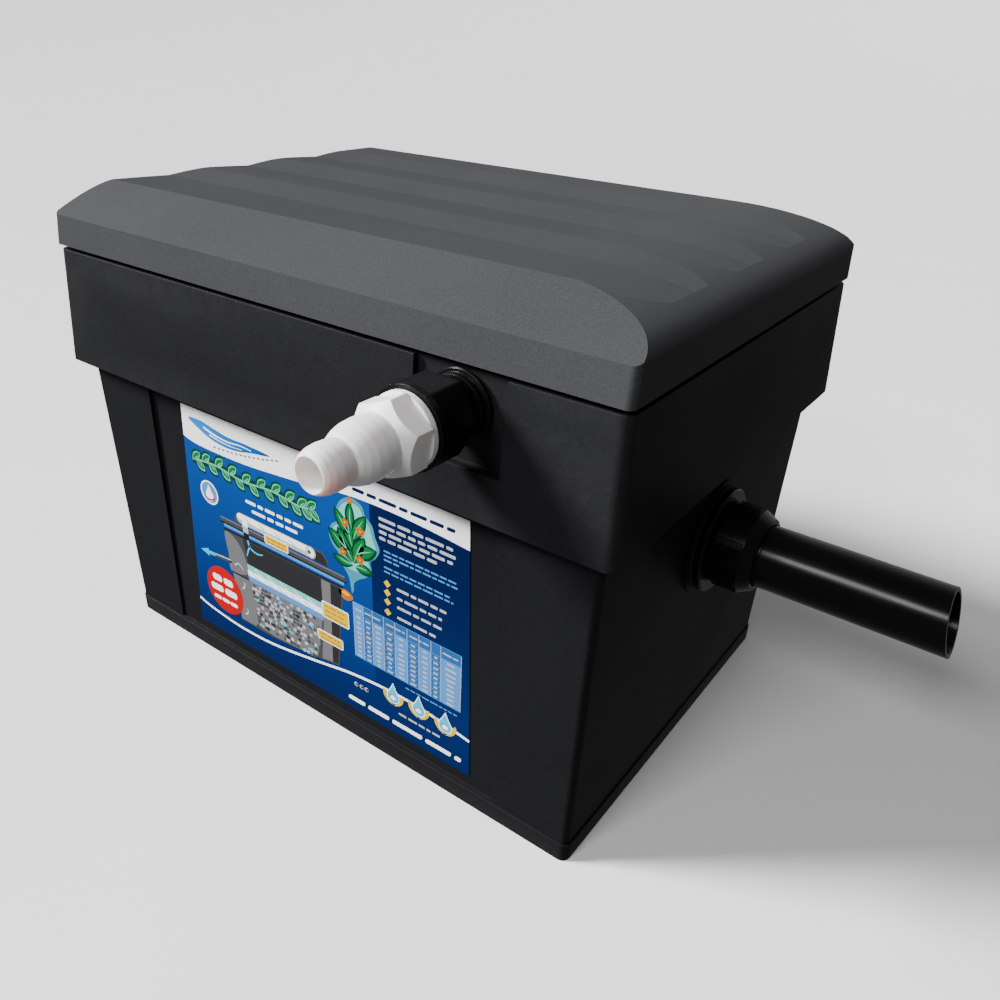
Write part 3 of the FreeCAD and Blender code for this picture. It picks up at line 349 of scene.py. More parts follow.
# ------------------------------------------------------------ mesh helpers
def piece(name, verts, faces, mats, marks=None, smooth=True):
    """Mesh object; marks gives each face's material."""
    mesh = bpy.data.meshes.new(name)
    mesh.from_pydata([tuple(v) for v in verts], [], faces)
    for mat in mats:
        mesh.materials.append(mat)
    if marks:
        mesh.polygons.foreach_set("material_index", marks)
    mesh.polygons.foreach_set("use_smooth", [smooth] * len(mesh.polygons))
    mesh.update()
    item = bpy.data.objects.new(name, mesh)
    bpy.context.collection.objects.link(item)
    return item


def bevelled(item, width, segments, angle):
    """Round the edges that are sharper than the angle."""
    mod = item.modifiers.new("bevel", "BEVEL")
    mod.width = width
    mod.segments = segments
    mod.limit_method = "ANGLE"
    mod.angle_limit = math.radians(angle)


def sharp_edges(item, angle):
    """Smooth shading that still breaks at edges sharper than the angle."""
    mesh = item.data
    bm = bmesh.new()
    bm.from_mesh(mesh)
    for edge in bm.edges:
        if len(edge.link_faces) == 2 and edge.calc_face_angle(0.0) > math.radians(angle):
            edge.smooth = False
    bm.to_mesh(mesh)
    bm.free()


# ------------------------------------------------------------- label print
# x and z of the print are millimetres in the frame's own axes, on the face of front_label
LABEL_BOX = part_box("front_label")
FACE_Y = LABEL_BOX[0][1]
FACE_LOW = LABEL_BOX[0][2] / MM
FACE_TOP = LABEL_BOX[1][2] / MM
LAYER = 0.02 * MM
LEAF_STEPS = 12


def rect(x0, z0, x1, z1):
    return [(x0, z0), (x1, z0), (x1, z1), (x0, z1)]


def pill(x0, z0, x1, z1, radius, lean=0.0):
    """Bar with rounded corners; its top is moved sideways by lean."""
    radius = min(radius, (x1 - x0) / 2.01, (z1 - z0) / 2.01)
    points = []
    for cx, cz, first in ((x1, z0, -90), (x1, z1, 0), (x0, z1, 90), (x0, z0, 180)):
        cx += radius if cx == x0 else -radius
        cz += radius if cz == z0 else -radius
        for step in range(4):
            turn = math.radians(first + step * 30)
            z = cz + radius * math.sin(turn)
            points.append((cx + radius * math.cos(turn) + lean * (z - z0) / (z1 - z0), z))
    return points


def disc(x, z, radius, count=44):
    turns = [2 * math.pi * i / count for i in range(count)]
    return [(x + radius * math.cos(t), z + radius * math.sin(t)) for t in turns]


def through(points, closed=False, steps=7):
    """Smooth curve that passes through the points."""
    count = len(points)
    result = []
    for i in range(count if closed else count - 1):
        around = (i - 1, i, i + 1, i + 2)
        near = [points[k % count if closed else min(max(k, 0), count - 1)] for k in around]
        for step in range(steps):
            t = step / steps
            weights = (
                -0.5 * t + t * t - 0.5 * t ** 3,
                1 - 2.5 * t * t + 1.5 * t ** 3,
                0.5 * t + 2 * t * t - 1.5 * t ** 3,
                -0.5 * t * t + 0.5 * t ** 3,
            )
            result.append(tuple(sum(w * p[axis] for w, p in zip(weights, near)) for axis in (0, 1)))
    return result if closed else result + [points[-1]]


def stroke(points, width, tip=1.0):
    """Ribbon along a smooth curve, as wide at its end as width times tip."""
    line = through(points)
    left, right = [], []
    for i, (x, z) in enumerate(line):
        ahead = line[min(i + 1, len(line) - 1)]
        behind = line[max(i - 1, 0)]
        dx, dz = ahead[0] - behind[0], ahead[1] - behind[1]
        size = math.hypot(dx, dz) or 1.0
        half = width / 2 * (1 + (tip - 1) * i / (len(line) - 1))
        left.append((x - dz / size * half, z + dx / size * half))
        right.append((x + dz / size * half, z - dx / size * half))
    return left + right[::-1]


def leaf(x, z, length, width, angle, bow=0.0):
    """Pointed leaf that grows from (x, z)."""
    upper, lower = [], []
    for i in range(LEAF_STEPS + 1):
        t = i / LEAF_STEPS
        half = width / 2 * math.sin(math.pi * t) ** 0.8
        mid = bow * math.sin(math.pi * t)
        upper.append((t * length, mid + half))
        lower.append((t * length, mid - half))
    c, s = math.cos(math.radians(angle)), math.sin(math.radians(angle))
    return [(x + a * c - b * s, z + a * s + b * c) for a, b in upper + lower[-2:0:-1]]


def drop(x, z, radius, tall):
    """Water drop standing on its round end."""
    turns = [math.radians(150 + 12 * i) for i in range(21)]
    points = [(x + radius * math.cos(t), z + radius * math.sin(t)) for t in turns]
    shoulder, neck = z + tall * 0.55, radius * 0.45
    return points + [(x + neck, shoulder), (x, z + tall), (x - neck, shoulder)]


class Print:
    """Flat shapes printed on the front label: thin closed layers, the higher levels further forward."""

    def __init__(self, name):
        self.name = name
        self.verts, self.faces, self.marks, self.inks = [], [], [], []

    def add(self, outline, colour, level):
        """One flat shape: its outline, its ink and how far forward it lies."""
        if colour not in self.inks:
            self.inks.append(colour)
        base, count = len(self.verts), len(outline)
        for depth in (-level * LAYER, LAYER):
            self.verts += [(x * MM, FACE_Y + depth, z * MM) for x, z in outline]
        over = base + count
        sides = [(base + i, base + (i + 1) % count, over + (i + 1) % count, over + i) for i in range(count)]
        ends = [tuple(range(base, over)), tuple(range(over + count - 1, over - 1, -1))]
        self.faces += ends + sides
        self.marks += [self.inks.index(colour)] * (count + 2)

    def words(self, x0, x1, z, height, colour, level, lean=0.0, bold=1.0):
        """A line of plain dashes, each as long as a word, with no lettering."""
        at = x0
        low = z - height / 2
        tall = height * 0.62
        while at < x1 - tall:
            wide = min(height * draw.uniform(1.3, 4.0) * bold, x1 - at)
            self.add(pill(at, low, at + wide, low + tall, tall * 0.38, lean * tall), colour, level)
            at += wide + height * 0.5

    def build(self):
        item = piece(self.name, self.verts, self.faces, self.inks, self.marks, smooth=False)
        bm = bmesh.new()
        bm.from_mesh(item.data)
        bmesh.ops.recalc_face_normals(bm, faces=bm.faces)
        bm.to_mesh(item.data)
        bm.free()
        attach(item, "filter_tank")


draw = random.Random(7)
WHITE = ink("white", (0.93, 0.94, 0.95))
NAVY = ink("navy", (0.0, 0.006, 0.045), second=(0.0, 0.012, 0.080), axis="Z", low=0.18, high=0.07)
SEA = ink("sea", (0.0, 0.012, 0.085), second=(0.0, 0.009, 0.066), axis="Z", low=0.06, high=0.03)
WAVE = ink("wave", (0.0, 0.20, 0.62), second=(0.0, 0.05, 0.26), axis="X", low=-0.12, high=-0.04)
RED = ink("red", (0.42, 0.0, 0.003))
GREEN = ink("green", (0.002, 0.13, 0.030))
PINE = ink("pine", (0.001, 0.040, 0.018))
MINT = ink("mint", (0.10, 0.42, 0.28))
HAZE = ink("haze", (0.04, 0.22, 0.30))
AMBER = ink("amber", (0.42, 0.11, 0.01))
YELLOW = ink("yellow", (0.62, 0.43, 0.0))
DARK = ink("dark", (0.018, 0.018, 0.019))
BLACK = ink("black", (0.008, 0.008, 0.009))
STONE = ink("grey", (0.045, 0.047, 0.046))
MID = ink("mid", (0.12, 0.12, 0.125))
PALE = ink("pale", (0.38, 0.39, 0.43))
SKY = ink("sky", (0.06, 0.21, 0.50))
CYAN = ink("cyan", (0.03, 0.40, 0.62))
TEAL = ink("teal", (0.13, 0.50, 0.44))
LINE = ink("line", (0.016, 0.085, 0.27))


def edge_x(side, z):
    """Left or right edge of the printed area at a height."""
    low, high = ((-144.0, -128.0), (148.0, 142.0))[side]
    return low + (high - low) * (z - FACE_LOW) / (FACE_TOP - FACE_LOW)


def background():
    art = Print("label_background")
    band = [(edge_x(0, 203.5), 203.5)]
    band += [(-120, 201), (-105, 200), (-80, 200), (-55, 201), (-30, 203.2), (-3, 206)]
    band += [(20, 209.4), (43, 212), (62, 213), (85, 213), (110, 212), (edge_x(1, 209.5), 209.5)]
    art.add(through(band) + [(edge_x(1, FACE_TOP), FACE_TOP), (edge_x(0, FACE_TOP), FACE_TOP)], WHITE, 1)
    column = [(61, 62), (61, 213.4), (90, 213.2), (115, 211.6)]
    column += [(edge_x(1, 209.6), 209.6), (edge_x(1, 58), 58)]
    art.add(column, NAVY, 0.6)
    curve = [(edge_x(0, 48), 48.5)]
    curve += [(-130, 45.2), (-105, 42), (-83, 41), (-55, 42.3), (-25, 46.8), (5.5, 52.6)]
    curve += [(35, 58.6), (68, 62.4), (95, 63), (122, 61), (edge_x(1, 57), 57.4)]
    art.add(through(curve) + [(edge_x(1, FACE_LOW), FACE_LOW), (edge_x(0, FACE_LOW), FACE_LOW)], SEA, 1)
    art.add(stroke(curve, 2.3), WHITE, 2)
    art.build()


def header():
    art = Print("label_header")
    # a wave with two lines of foam, over a row of dots
    wave = [(-121, 220.5), (-108, 222), (-92, 219.6), (-76, 217.4), (-58, 217.6)]
    wave += [(-32, 216.3), (-52, 212.4), (-72, 208.4), (-92, 208.8), (-108, 213.6)]
    art.add(through(wave, True), WAVE, 2)
    crest = [(-104, 217.4), (-92, 214.6), (-78, 213.4), (-64, 214.6), (-52, 214.2)]
    art.add(stroke(crest, 1.7, 0.3), WHITE, 3)
    art.add(stroke([(-98, 213.2), (-86, 211.2), (-74, 210.8), (-62, 211.8)], 1.1, 0.3), WHITE, 3)
    dots = 15
    for k in range(dots):
        t = k / (dots - 1)
        x, z = -95 + 68 * t, 203.6 + 3.4 * t + 7.4 * t * t
        art.add(pill(x, z, x + 3.0, z + 1.4, 0.5), MID, 2)
    art.words(46, 131, 219.4, 4.4, NAVY, 2, 0.25, 1.1)
    # a row of leaves on a stem
    stem = [(-123, 186), (-96, 188.6), (-66, 185.6), (-34, 188.4), (-8, 186.2), (7, 188.6)]
    art.add(stroke(stem, 7.5), PINE, 1)
    line = through(stem, steps=4)
    above, below = (38, 12.5), (-40, 11.6)
    leaves = [(x, z, *(above, below)[k % 2]) for k, (x, z) in enumerate(line[:-1])]
    for x, z, turn, size in leaves:
        art.add(leaf(x - 1.2, z, size + 2.6, 9.2, turn), PINE, 1.2)
    for x, z, turn, size in leaves:
        art.add(leaf(x, z, size, 6.9, turn), MINT, 2)
        art.add(leaf(x + 0.5, z + (0.5 if turn > 0 else 0.1), size - 1.6, 4.4, turn), GREEN, 3)
        art.add(leaf(x + 1.4, z - 0.2, size - 4.6, 1.0, turn), MINT, 4)
    art.add(stroke(stem, 1.4), MINT, 4)
    art.words(-65, 0, 170.4, 4.2, WHITE, 2)
    art.words(-59, -6, 163.6, 4.2, WHITE, 2)
    # round badge
    art.add(disc(-108, 161.5, 10.2), WHITE, 2)
    art.add(disc(-108, 161.5, 8.9), SKY, 3)
    art.add(drop(-108, 158.6, 4.6, 10.2), WHITE, 4)
    art.add(stroke([(-113.8, 157.2), (-110, 155.4), (-105.6, 155.8), (-102.6, 158.2)], 1.5), RED, 5)
    art.build()


def plant():
    art = Print("label_plant")
    # a plant in a cloud of haze that tapers to a tail
    cloud = [(44, 211), (54, 208.5), (57, 202), (63, 196.5), (65.5, 188), (69, 180), (65, 172)]
    cloud += [(60, 167), (61, 160), (56, 153), (49, 148.5), (44, 143), (43.6, 137.6), (41.6, 134)]
    cloud += [(40.6, 139), (39.4, 146), (36, 151.5), (31, 156), (30, 163)]
    cloud += [(24.6, 168), (22, 176), (25, 184), (31, 189), (30.6, 198), (35, 206)]
    art.add(through(cloud, True, 4), HAZE, 2)
    inset = [(44 + (x - 44) * 0.86, 178 + (z - 178) * 0.9) for x, z in cloud if z > 150]
    art.add(through(inset, True, 4), TEAL, 2.5)
    leaves = [(44, 160, 28, 12, 118), (45, 160, 27, 12, 66), (43, 166, 26, 12, 146)]
    leaves += [(46, 166, 24, 12, 30), (44, 172, 24, 11, 100), (45, 178, 27, 11, 62)]
    leaves += [(43, 180, 24, 10, 128), (44, 158, 20, 9, 176), (46, 157, 17, 9, 4), (44, 186, 22, 9, 92)]
    for x, z, size, wide, turn in leaves:
        art.add(leaf(x, z, size, wide, turn, 0.8), PINE, 3)
        art.add(leaf(x, z + 0.6, size - 2.6, wide - 3.4, turn, 0.8), GREEN, 4)
        art.add(leaf(x, z + 0.8, size - 6, 1.1, turn, 0.8), MINT, 5)
    blooms = [(38, 190, 2.6), (52, 188, 3.0), (34.6, 165.6, 2.6), (50.6, 165, 2.8), (43.6, 208.6, 2.2)]
    for x, z, radius in blooms:
        for k in range(5):
            art.add(leaf(x, z, radius * 1.5, radius, 72 * k + 20), AMBER, 6)
        art.add(disc(x, z, radius * 0.35, count=10), YELLOW, 7)
    pebble = [(28, 131), (33, 134), (40, 132.4), (42, 129), (37, 125.4), (31, 126.4)]
    art.add(through(pebble, True, 4), AMBER, 3)
    art.add(through([(31, 131), (35, 132.6), (39, 131), (36, 129.4)], True, 4), YELLOW, 4)
    art.build()


def text_column():
    art = Print("label_text")
    for z, last in ((205.6, 133), (200.6, 132), (195.8, 130), (191.0, 120)):
        art.words(69, last, z, 3.7, PALE, 2)
    for z, last in ((182.0, 133), (178.6, 134), (175.2, 86), (169.4, 128), (166.0, 131)):
        art.words(72.5, last, z, 2.1, SKY, 2)
    for z, last in ((156.4, 127), (149.2, 122), (141.8, 122), (133.2, 117)):
        art.add([(71.8, z), (74.9, z - 3.1), (78.0, z), (74.9, z + 3.1)], YELLOW, 2)
        art.words(83.4, last, z, 3.4, PALE, 2)
    art.words(90, 138, 74.6, 1.8, SKY, 2)
    art.words(83, 122, 46.6, 2.9, PALE, 2)
    art.words(32, 140, 36.2, 6.4, WHITE, 2, 0.22, 1.15)
    for x in (41, 46.4, 51.4):
        art.add(disc(x, 51, 2.0, count=18), PALE, 2)
        art.add(disc(x + 0.6, 51, 1.2, count=18), SEA, 3)
    art.build()


def table():
    art = Print("label_table")
    edges = [42, 51.4, 60, 70.6, 81, 92, 102.4, 113, 121.4, 138.6]
    top, bottom = 127.2, 79.2
    art.add(rect(edges[0], bottom, edges[-1], top), LINE, 1.4)
    for k in (0, 2, 4, 6, 8):
        high = top if k == 0 else 117.6
        art.add(rect(edges[k], bottom, edges[k + 1], high), SKY, 2)
    for x in edges:
        art.add(rect(x - 0.22, bottom, x + 0.22, top), PALE, 3)
    rows = [79.2, 83.2, 87.2, 91.2, 95.2, 99.4, 103.6, 108.0, 112.8, 117.6, 127.2]
    for z in rows:
        art.add(rect(edges[0], z - 0.18, edges[-1], z + 0.18), SKY, 3)
    for low, high in zip(rows, rows[1:-1]):
        for x0, x1 in zip(edges, edges[1:]):
            wide = (x1 - x0) * draw.uniform(0.3, 0.55)
            mid, level = (x0 + x1) / 2, (low + high) / 2
            art.add(rect(mid - wide / 2, level - 0.75, mid + wide / 2, level + 0.75), PALE, 4)
    for x0, x1, z in ((53, 68, 122.6), (73, 90, 122.6), (94, 111, 122.6), (123, 136, 122.6), (43.5, 50, 122)):
        art.words(x0, x1, z, 2.0, PALE, 4)
    art.build()


def cutaway():
    """Cut-away drawing of the filter: hood, lamp, lid, pads, media and flow arrows."""
    art = Print("label_cutaway")
    art.add([(-82, 146), (-79, 153), (-75, 156.6), (14, 156.6), (18, 152), (20, 146)], STONE, 2)
    art.add([(6, 146), (7, 155), (13, 155), (17, 151), (18.6, 146)], DARK, 3)
    art.add([(-99, 139.6), (-96, 144.6), (34, 144.6), (36, 139.6)], STONE, 3)
    art.add(rect(-99, 139.4, 36, 140.8), BLACK, 4)
    art.add(rect(-98, 143.8, 35, 144.8), MID, 4)
    art.add(rect(-95, 136.8, 34, 139.4), SKY, 2)
    shell = [(-96, 134.6), (33, 134.6), (28, 96), (24, 59.6), (-12, 54), (-50, 50), (-88, 50.4), (-92, 96)]
    art.add(shell, STONE, 2)
    art.add(rect(-96, 133.6, 33, 135.2), BLACK, 3)
    art.add([(-74, 133), (10.6, 133), (10.6, 109.6), (-71, 109.6), (-72, 122)], DARK, 3)
    chamber = [(-95.4, 131.6), (-84, 130), (-76, 121), (-72.6, 108), (-74, 100), (-93, 96), (-94, 112)]
    art.add(through(chamber, True, 5), MID, 3)
    art.add([(10.6, 132.6), (20, 132.6), (17.4, 60), (6, 57.6), (10.6, 96)], MID, 3)
    art.add([(20, 132.6), (31.4, 132.6), (27, 96), (23, 60.4), (17.4, 60)], DARK, 3)
    art.add([(-91.6, 95.4), (-72, 95.4), (-66.6, 56), (-71, 51.4), (-87.4, 51.4)], MID, 3)
    art.add(rect(-92, 95, -72, 96.4), BLACK, 4)
    # pads
    for low, high, colour in ((105.6, 111, TEAL), (100.4, 105.6, WHITE), (95.4, 100.4, SKY)):
        art.add([(-72, low), (10.4, low), (10.6, high), (-72.4, high)], colour, 4)
    for k in range(5):
        x = -67 + 14.6 * k
        art.add(stroke([(x, 104.2), (x + 4, 101.6), (x + 9.5, 100.8)], 1.0, 0.4), CYAN, 5)
        art.add(stroke([(x + 3, 109.4), (x + 7, 107.2), (x + 12, 106.6)], 0.9, 0.4), WHITE, 5)
    # media
    heap = [(-71.6, 95.2), (9, 95.2), (5, 74), (1, 57), (-22, 53.6), (-48, 52), (-64, 53), (-69, 72)]
    art.add(heap, MID, 4)
    top_row, pitch, lowest = 93.2, 3.75, 55.5
    for row in range(11):
        z = top_row - row * pitch
        reach = (-70.4 + row * 0.55, 7.4 - row * 0.62)
        x = reach[0] + draw.uniform(0, 2)
        while x < reach[1]:
            size = draw.uniform(1.5, 2.5)
            spin = draw.uniform(0, 60)
            stone = []
            for k in range(6):
                turn = math.radians(spin + 60 * k)
                far = size * draw.uniform(0.75, 1.15)
                stone.append((x + far * math.cos(turn), z + far * 0.78 * math.sin(turn)))
            if z > lowest:
                art.add(stone, draw.choice((PALE, MID, PALE, STONE, DARK, MID, STONE)), 5 + 0.02 * (row % 2))
            x += size * 1.75
    flow = [(-62, 82, 200), (-40, 88, 20), (-24, 66, 160), (-8, 84, 340)]
    flow += [(-52, 62, 60), (-4, 62, 200), (-34, 74, 250)]
    for x, z, turn in flow:
        art.add(leaf(x, z, 7, 2.6, turn, 1.2), CYAN, 6)
    # lamp
    art.add(pill(-78, 147, 6.6, 156.2, 4.5), PALE, 5)
    art.add(pill(-77, 150.4, 4, 155.6, 2.5), WHITE, 6)
    art.add(disc(2, 151.6, 5.0), PALE, 7)
    art.add(disc(2, 151.6, 3.7), WHITE, 8)
    art.add(disc(0.4, 151.4, 1.9, count=18), GREEN, 9)
    for x in (-66, -50, -34, -18):
        art.add(stroke([(x + 4, 149), (x + 1.4, 152), (x - 2.6, 153.2)], 1.3, 0.5), CYAN, 7)
    for z, tall, colour in ((145.4, 5.4, WHITE), (140.2, 5.2, PALE), (134.6, 5.6, BLACK)):
        art.add(rect(-72, z - 0.4, -66, z + tall), colour, 8)
    for points in ([(-68, 134), (-66, 128), (-59, 125.6), (-52, 127)], [(-66, 130), (-69, 124), (-71, 119)]):
        art.add(stroke(points, 2.0, 0.5), CYAN, 5)
    # pipe and arrow at the left
    art.add([(-113, 101.4), (-92, 103.4), (-92, 107.4), (-113, 105.2)], STONE, 3)
    art.add([(-113, 103.6), (-92, 105.6), (-92, 106.8), (-113, 104.8)], PALE, 4)
    arrow = [(-130, 102.4), (-120, 98.8), (-120, 101), (-112, 101.8), (-112, 105), (-120, 104.4)]
    art.add(arrow + [(-120, 106.4)], CYAN, 4)
    for z, tall in ((83, 8), (58, 7)):
        art.add(stroke([(-82, z), (-78.6, z + tall * 0.5), (-79, z + tall)], 1.9, 0.5), PALE, 5)
    art.add(stroke([(-88, 103.6), (-82.6, 106.6), (-78, 102.6)], 1.7, 0.5), PALE, 5)
    # callouts
    callouts = [(-47.6, 140.2, -22, 148.4, 2), (9.8, 99.4, 37, 114, 3), (2.8, 76.4, 29.6, 85.6, 2)]
    for x0, z0, x1, z1, rows in callouts:
        art.add(pill(x0, z0, x1, z1, 1.6), WHITE, 9)
        art.add(pill(x0 + 0.7, z0 + 0.7, x1 - 0.7, z1 - 0.7, 1.2), YELLOW, 10)
        for k in range(rows):
            art.words(x0 + 3, x1 - 3, z0 + (z1 - z0) * (k + 0.75) / (rows + 0.5), 1.9, AMBER, 11)
    art.build()


def badges():
    art = Print("label_badges")
    art.add(disc(-105.6, 71, 22.2), RED, 6)
    for z, half, tall, parts in ((80.8, 13.6, 6.4, 2), (70.6, 17.2, 6.4, 2), (60.6, 15.2, 3.4, 3)):
        wide = 2 * half / parts
        for k in range(parts):
            x = -105.6 - half + k * wide
            art.add(pill(x, z - tall / 2, x + wide - tall * 0.35, z + tall / 2, tall * 0.4), WHITE, 7)
    for x, z in ((78, 59.6), (102, 60.8), (126, 59.6)):
        for side in (-1, 1):
            moon = [(0.4, -8.4), (5.2, -6.8), (9.0, -2.4), (9.6, 3.2), (6.8, 2.0), (6.2, -2.6), (3.4, -6.2)]
            half = through([(x + side * a, z + b) for a, b in moon], True, 4)
            art.add(half, YELLOW, 3 if side < 0 else 3.2)
        art.add(drop(x, z - 0.6, 6.2, 13.0), WHITE, 4)
        art.add(drop(x, z - 0.6, 5.4, 11.4), CYAN, 5)
        art.add(disc(x - 0.8, z - 1.6, 3.1, count=24), SKY, 6)
        glint = [(x - 3, z - 2.2), (x - 0.6, z + 0.6), (x + 2.6, z - 1.2), (x + 0.6, z - 3.6)]
        art.add(through(glint, True, 4), WHITE, 7)
    art.build()


for printed in (background, header, plant, text_column, table, cutaway, badges):
    printed()


# ---------------------------------------------------------- pads and media
def shaped(name, mats, cells, place):
    """Closed block made of a fine grid of quads, each point moved by place(u, v, w)."""
    nx, ny, nz = cells
    index, verts, faces = {}, [], []

    def vertex(i, j, k):
        if (i, j, k) not in index:
            index[i, j, k] = len(verts)
            verts.append(place(i / nx, j / ny, k / nz))
        return index[i, j, k]

    for a, b, c, fixed, size in ((0, 1, 2, 2, nz), (1, 2, 0, 0, nx), (2, 0, 1, 1, ny)):
        for end in (0, size):
            for p in range(cells[a]):
                for q in range(cells[b]):
                    loop = []
                    for dp, dq in ((0, 0), (1, 0), (1, 1), (0, 1)):
                        at = [0, 0, 0]
                        at[a], at[b], at[fixed] = p + dp, q + dq, end
                        loop.append(vertex(*at))
                    faces.append(tuple(loop if end else loop[::-1]))
    return piece(name, verts, faces, mats)


EDGE_DEPTH = 1.6 * MM
SIDE_SAG = 3.0 * MM
CORNER_SAG = 1.8 * MM
PAD_CELLS = (96, 78, 12)


def foam_pad(node, finish, seed, rough, slot):
    """Die-cut filter foam: soft edges, sides drawn in between the corners, an uneven open surface."""
    low, high = (Vector(c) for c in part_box(node))
    size = high - low
    mid = (low + high) / 2

    def place(u, v, w):
        x, y, z = (low[i] + size[i] * t for i, t in enumerate((u, v, w)))
        crown = math.sin(math.pi * u) * math.sin(math.pi * v)
        waist = math.sin(math.pi * w)
        x += (mid.x - x) / (size.x / 2) * SIDE_SAG * math.sin(math.pi * v) * (0.4 + 0.6 * waist)
        y += (mid.y - y) / (size.y / 2) * SIDE_SAG * math.sin(math.pi * u) * (0.4 + 0.6 * waist)
        z += (mid.z - z) / (size.z / 2) * CORNER_SAG * (1 - crown)
        point = Vector((x, y, z))
        bumps = noise.noise(point * 130 + Vector((seed, 0, 0))) * 0.5 + noise.noise(point * 420) * rough
        outward = Vector([1 if t >= 1 else -1 if t <= 0 else 0 for t in (u, v, w)])
        inward = EDGE_DEPTH * (0.55 + 0.45 * bumps)
        count = sum(abs(c) for c in outward)
        if count:
            point -= outward.normalized() * inward * (0.6 + 0.55 * count)
        return point

    pad = shaped(node + "_pad", [finish], PAD_CELLS, place)
    smooth = pad.modifiers.new("smooth", "SUBSURF")
    smooth.levels = smooth.render_levels = 1
    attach(pad, "filter_tank")
    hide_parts(node)


RING_OUTER = 9.2 * MM
RING_INNER = 5.6 * MM
RING_HALF = 8.0 * MM
RING_SIDES = 14
RING_PITCH = (21.2 * MM, 21.2 * MM, 18.8 * MM)


def media_rings(node, finish):
    """Heap of short ceramic rings that fills the lower chamber."""
    low, high = (Vector(c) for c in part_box(node))
    reach = math.hypot(RING_OUTER, RING_HALF) + 0.2 * MM
    verts, faces = [], []
    grid = [max(1, int((high[i] - low[i] - 2 * reach) / RING_PITCH[i]) + 1) for i in range(3)]
    rng = random.Random(23)
    for i, j, k in itertools.product(*(range(n) for n in grid)):
        spots = []
        for axis, n in enumerate((i, j, k)):
            room = high[axis] - low[axis] - 2 * reach
            spots.append(low[axis] + reach + room * n / max(1, grid[axis] - 1))
        spots[0] += (0.25 - 0.5 * (j % 2)) * 3 * MM * (1 if 0 < i < grid[0] - 1 else 0)
        turn = Euler([rng.uniform(0, math.pi) for _ in range(3)]).to_matrix()
        chip = rng.uniform(0.93, 1.0)
        base = len(verts)
        corners = ((RING_OUTER, RING_HALF), (RING_OUTER, -RING_HALF))
        corners += ((RING_INNER, -RING_HALF), (RING_INNER, RING_HALF))
        for radius, height in corners:
            for step in range(RING_SIDES):
                angle = 2 * math.pi * step / RING_SIDES
                wobble = 1 + 0.02 * math.sin(3 * angle + i + j)
                far = radius * wobble * chip
                spot = Vector((far * math.cos(angle), far * math.sin(angle), height * chip))
                verts.append(turn @ spot + Vector(spots))
        for ring in range(4):
            for step in range(RING_SIDES):
                nxt = (step + 1) % RING_SIDES
                a, b = base + ring * RING_SIDES, base + ((ring + 1) % 4) * RING_SIDES
                faces.append((a + nxt, a + step, b + step, b + nxt))
    rings = piece(node + "_rings", verts, faces, [finish])
    sharp_edges(rings, 50)
    bevelled(rings, 0.5 * MM, 1, 50)
    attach(rings, "filter_tank")
    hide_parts(node)


for node, slot, dark, light, pores, seed, rough in (
    ("foam_coarse", "foam_blue", (0.010, 0.055, 0.16), (0.035, 0.16, 0.38), 420.0, 3, 0.6),
    ("foam_medium", "foam_white", (0.42, 0.42, 0.38), (0.80, 0.80, 0.75), 620.0, 17, 0.45),
    ("foam_fine", "foam_teal", (0.02, 0.14, 0.13), (0.08, 0.36, 0.33), 900.0, 31, 0.3),
):
    foam_pad(node, foam(slot, dark, light, pores), seed, rough, slot)
media_rings("bio_media", ceramic("ceramic", (0.34, 0.32, 0.30), (0.62, 0.60, 0.56)))


# ---------------------------------------------------------- softened edges
# node, width in millimetres, smallest angle in degrees
for node, width, angle in (
    ("lid", 1.3, 14.0), ("tank", 0.7, 40.0), ("inlet_nut", 0.5, 25.0), ("outlet_nut", 0.5, 25.0),
    ("hosetail", 0.5, 28.0), ("outlet_pipe", 0.35, 40.0), ("inlet_connector", 0.4, 30.0),
    ("outlet_connector", 0.4, 30.0),
):
    bevelled(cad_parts[node], width * MM, 3, angle)


# ------------------------------------------------------------------- stage
# a floor that is flat round the part and curls up far away, in metres
FLOOR_FLAT = 3.0
FLOOR_CURL = 37.0
FLOOR_RISE = 18.0
FLOOR_DROP = 0.4 * MM
FLOOR_SIDES = 64
FLOOR_RINGS = 14


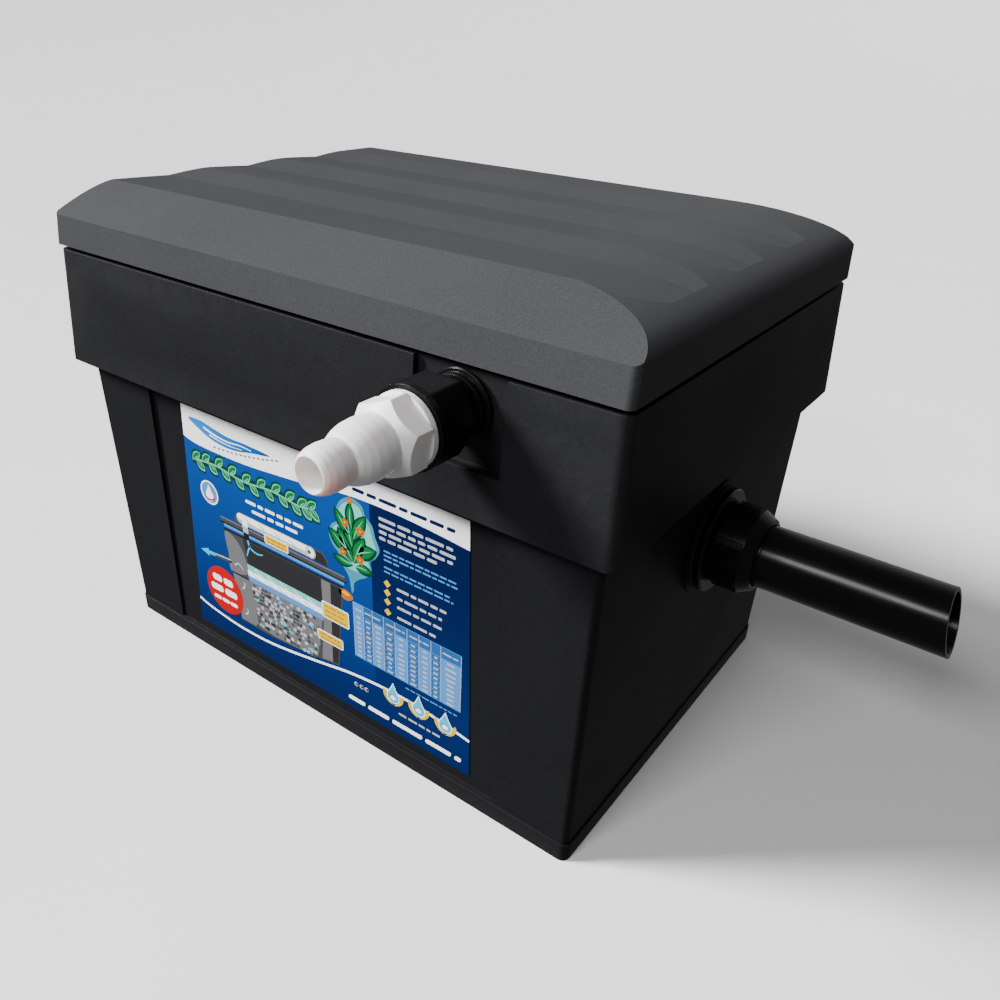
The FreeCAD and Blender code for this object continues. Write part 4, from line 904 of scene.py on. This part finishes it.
def add_floor():
    n = Nodes("floor")
    speck = n.noise(5.0, 3.0, 0.5)
    n.set(Base_Color=n.mix(n.span(speck, 0.3, 0.7), (0.80, 0.80, 0.80), (0.82, 0.82, 0.82)), Roughness=0.8)
    n.set(Specular_IOR_Level=0.1)
    radii = [1.0, FLOOR_FLAT] + [FLOOR_FLAT + FLOOR_CURL * (k + 1) / FLOOR_RINGS for k in range(FLOOR_RINGS)]
    turns = [2 * math.pi * i / FLOOR_SIDES for i in range(FLOOR_SIDES)]
    verts = []
    for r in radii:
        height = FLOOR_RISE * (max(0.0, r - FLOOR_FLAT) / FLOOR_CURL) ** 2
        verts += [(r * math.cos(t), r * math.sin(t), height) for t in turns]
    faces = [tuple(range(FLOOR_SIDES))]
    for k in range(len(radii) - 1):
        near, far = k * FLOOR_SIDES, (k + 1) * FLOOR_SIDES
        for i in range(FLOOR_SIDES):
            j = (i + 1) % FLOOR_SIDES
            faces.append((near + i, far + i, far + j, near + j))
    floor = piece("floor", verts, faces, [n.mat])
    floor.location.z = -FLOOR_DROP
    # the floor throws no light back up, so the black plastic keeps its depth
    floor.visible_diffuse = False
    floor.visible_glossy = False


def aimed(name, light, place, target):
    """Place a light that looks at the target and is itself out of sight."""
    item = bpy.data.objects.new(name, light)
    bpy.context.collection.objects.link(item)
    item.location = place
    item.rotation_euler = (Vector(target) - Vector(place)).to_track_quat("-Z", "Y").to_euler()
    item.visible_camera = False


def add_panel(name, place, target, size, power):
    light = bpy.data.lights.new(name, "AREA")
    light.shape = "RECTANGLE"
    light.size, light.size_y = size
    light.energy = power
    aimed(name, light, place, target)


def add_sun(name, place, spread, strength):
    """Distant light from the direction of place, spread over an angle in degrees."""
    light = bpy.data.lights.new(name, "SUN")
    light.energy = strength
    light.angle = math.radians(spread)
    aimed(name, light, place, (0, 0, 0))


add_floor()
world = bpy.data.worlds.new("world")
bpy.context.scene.world = world
world.use_nodes = True
world.node_tree.nodes["Background"].inputs["Color"].default_value = (1, 1, 1, 1)
world.node_tree.nodes["Background"].inputs["Strength"].default_value = 0.2
add_sun("key", (-1.5, -0.95, 1.2), 16, 10.4)
add_panel("strip", (0.1, -1.55, 1.45), (0.3, 0, 0.18), (0.7, 0.4), 24)
add_sun("back_fill", (0.1, 1.5, 0.5), 60, 0.3)
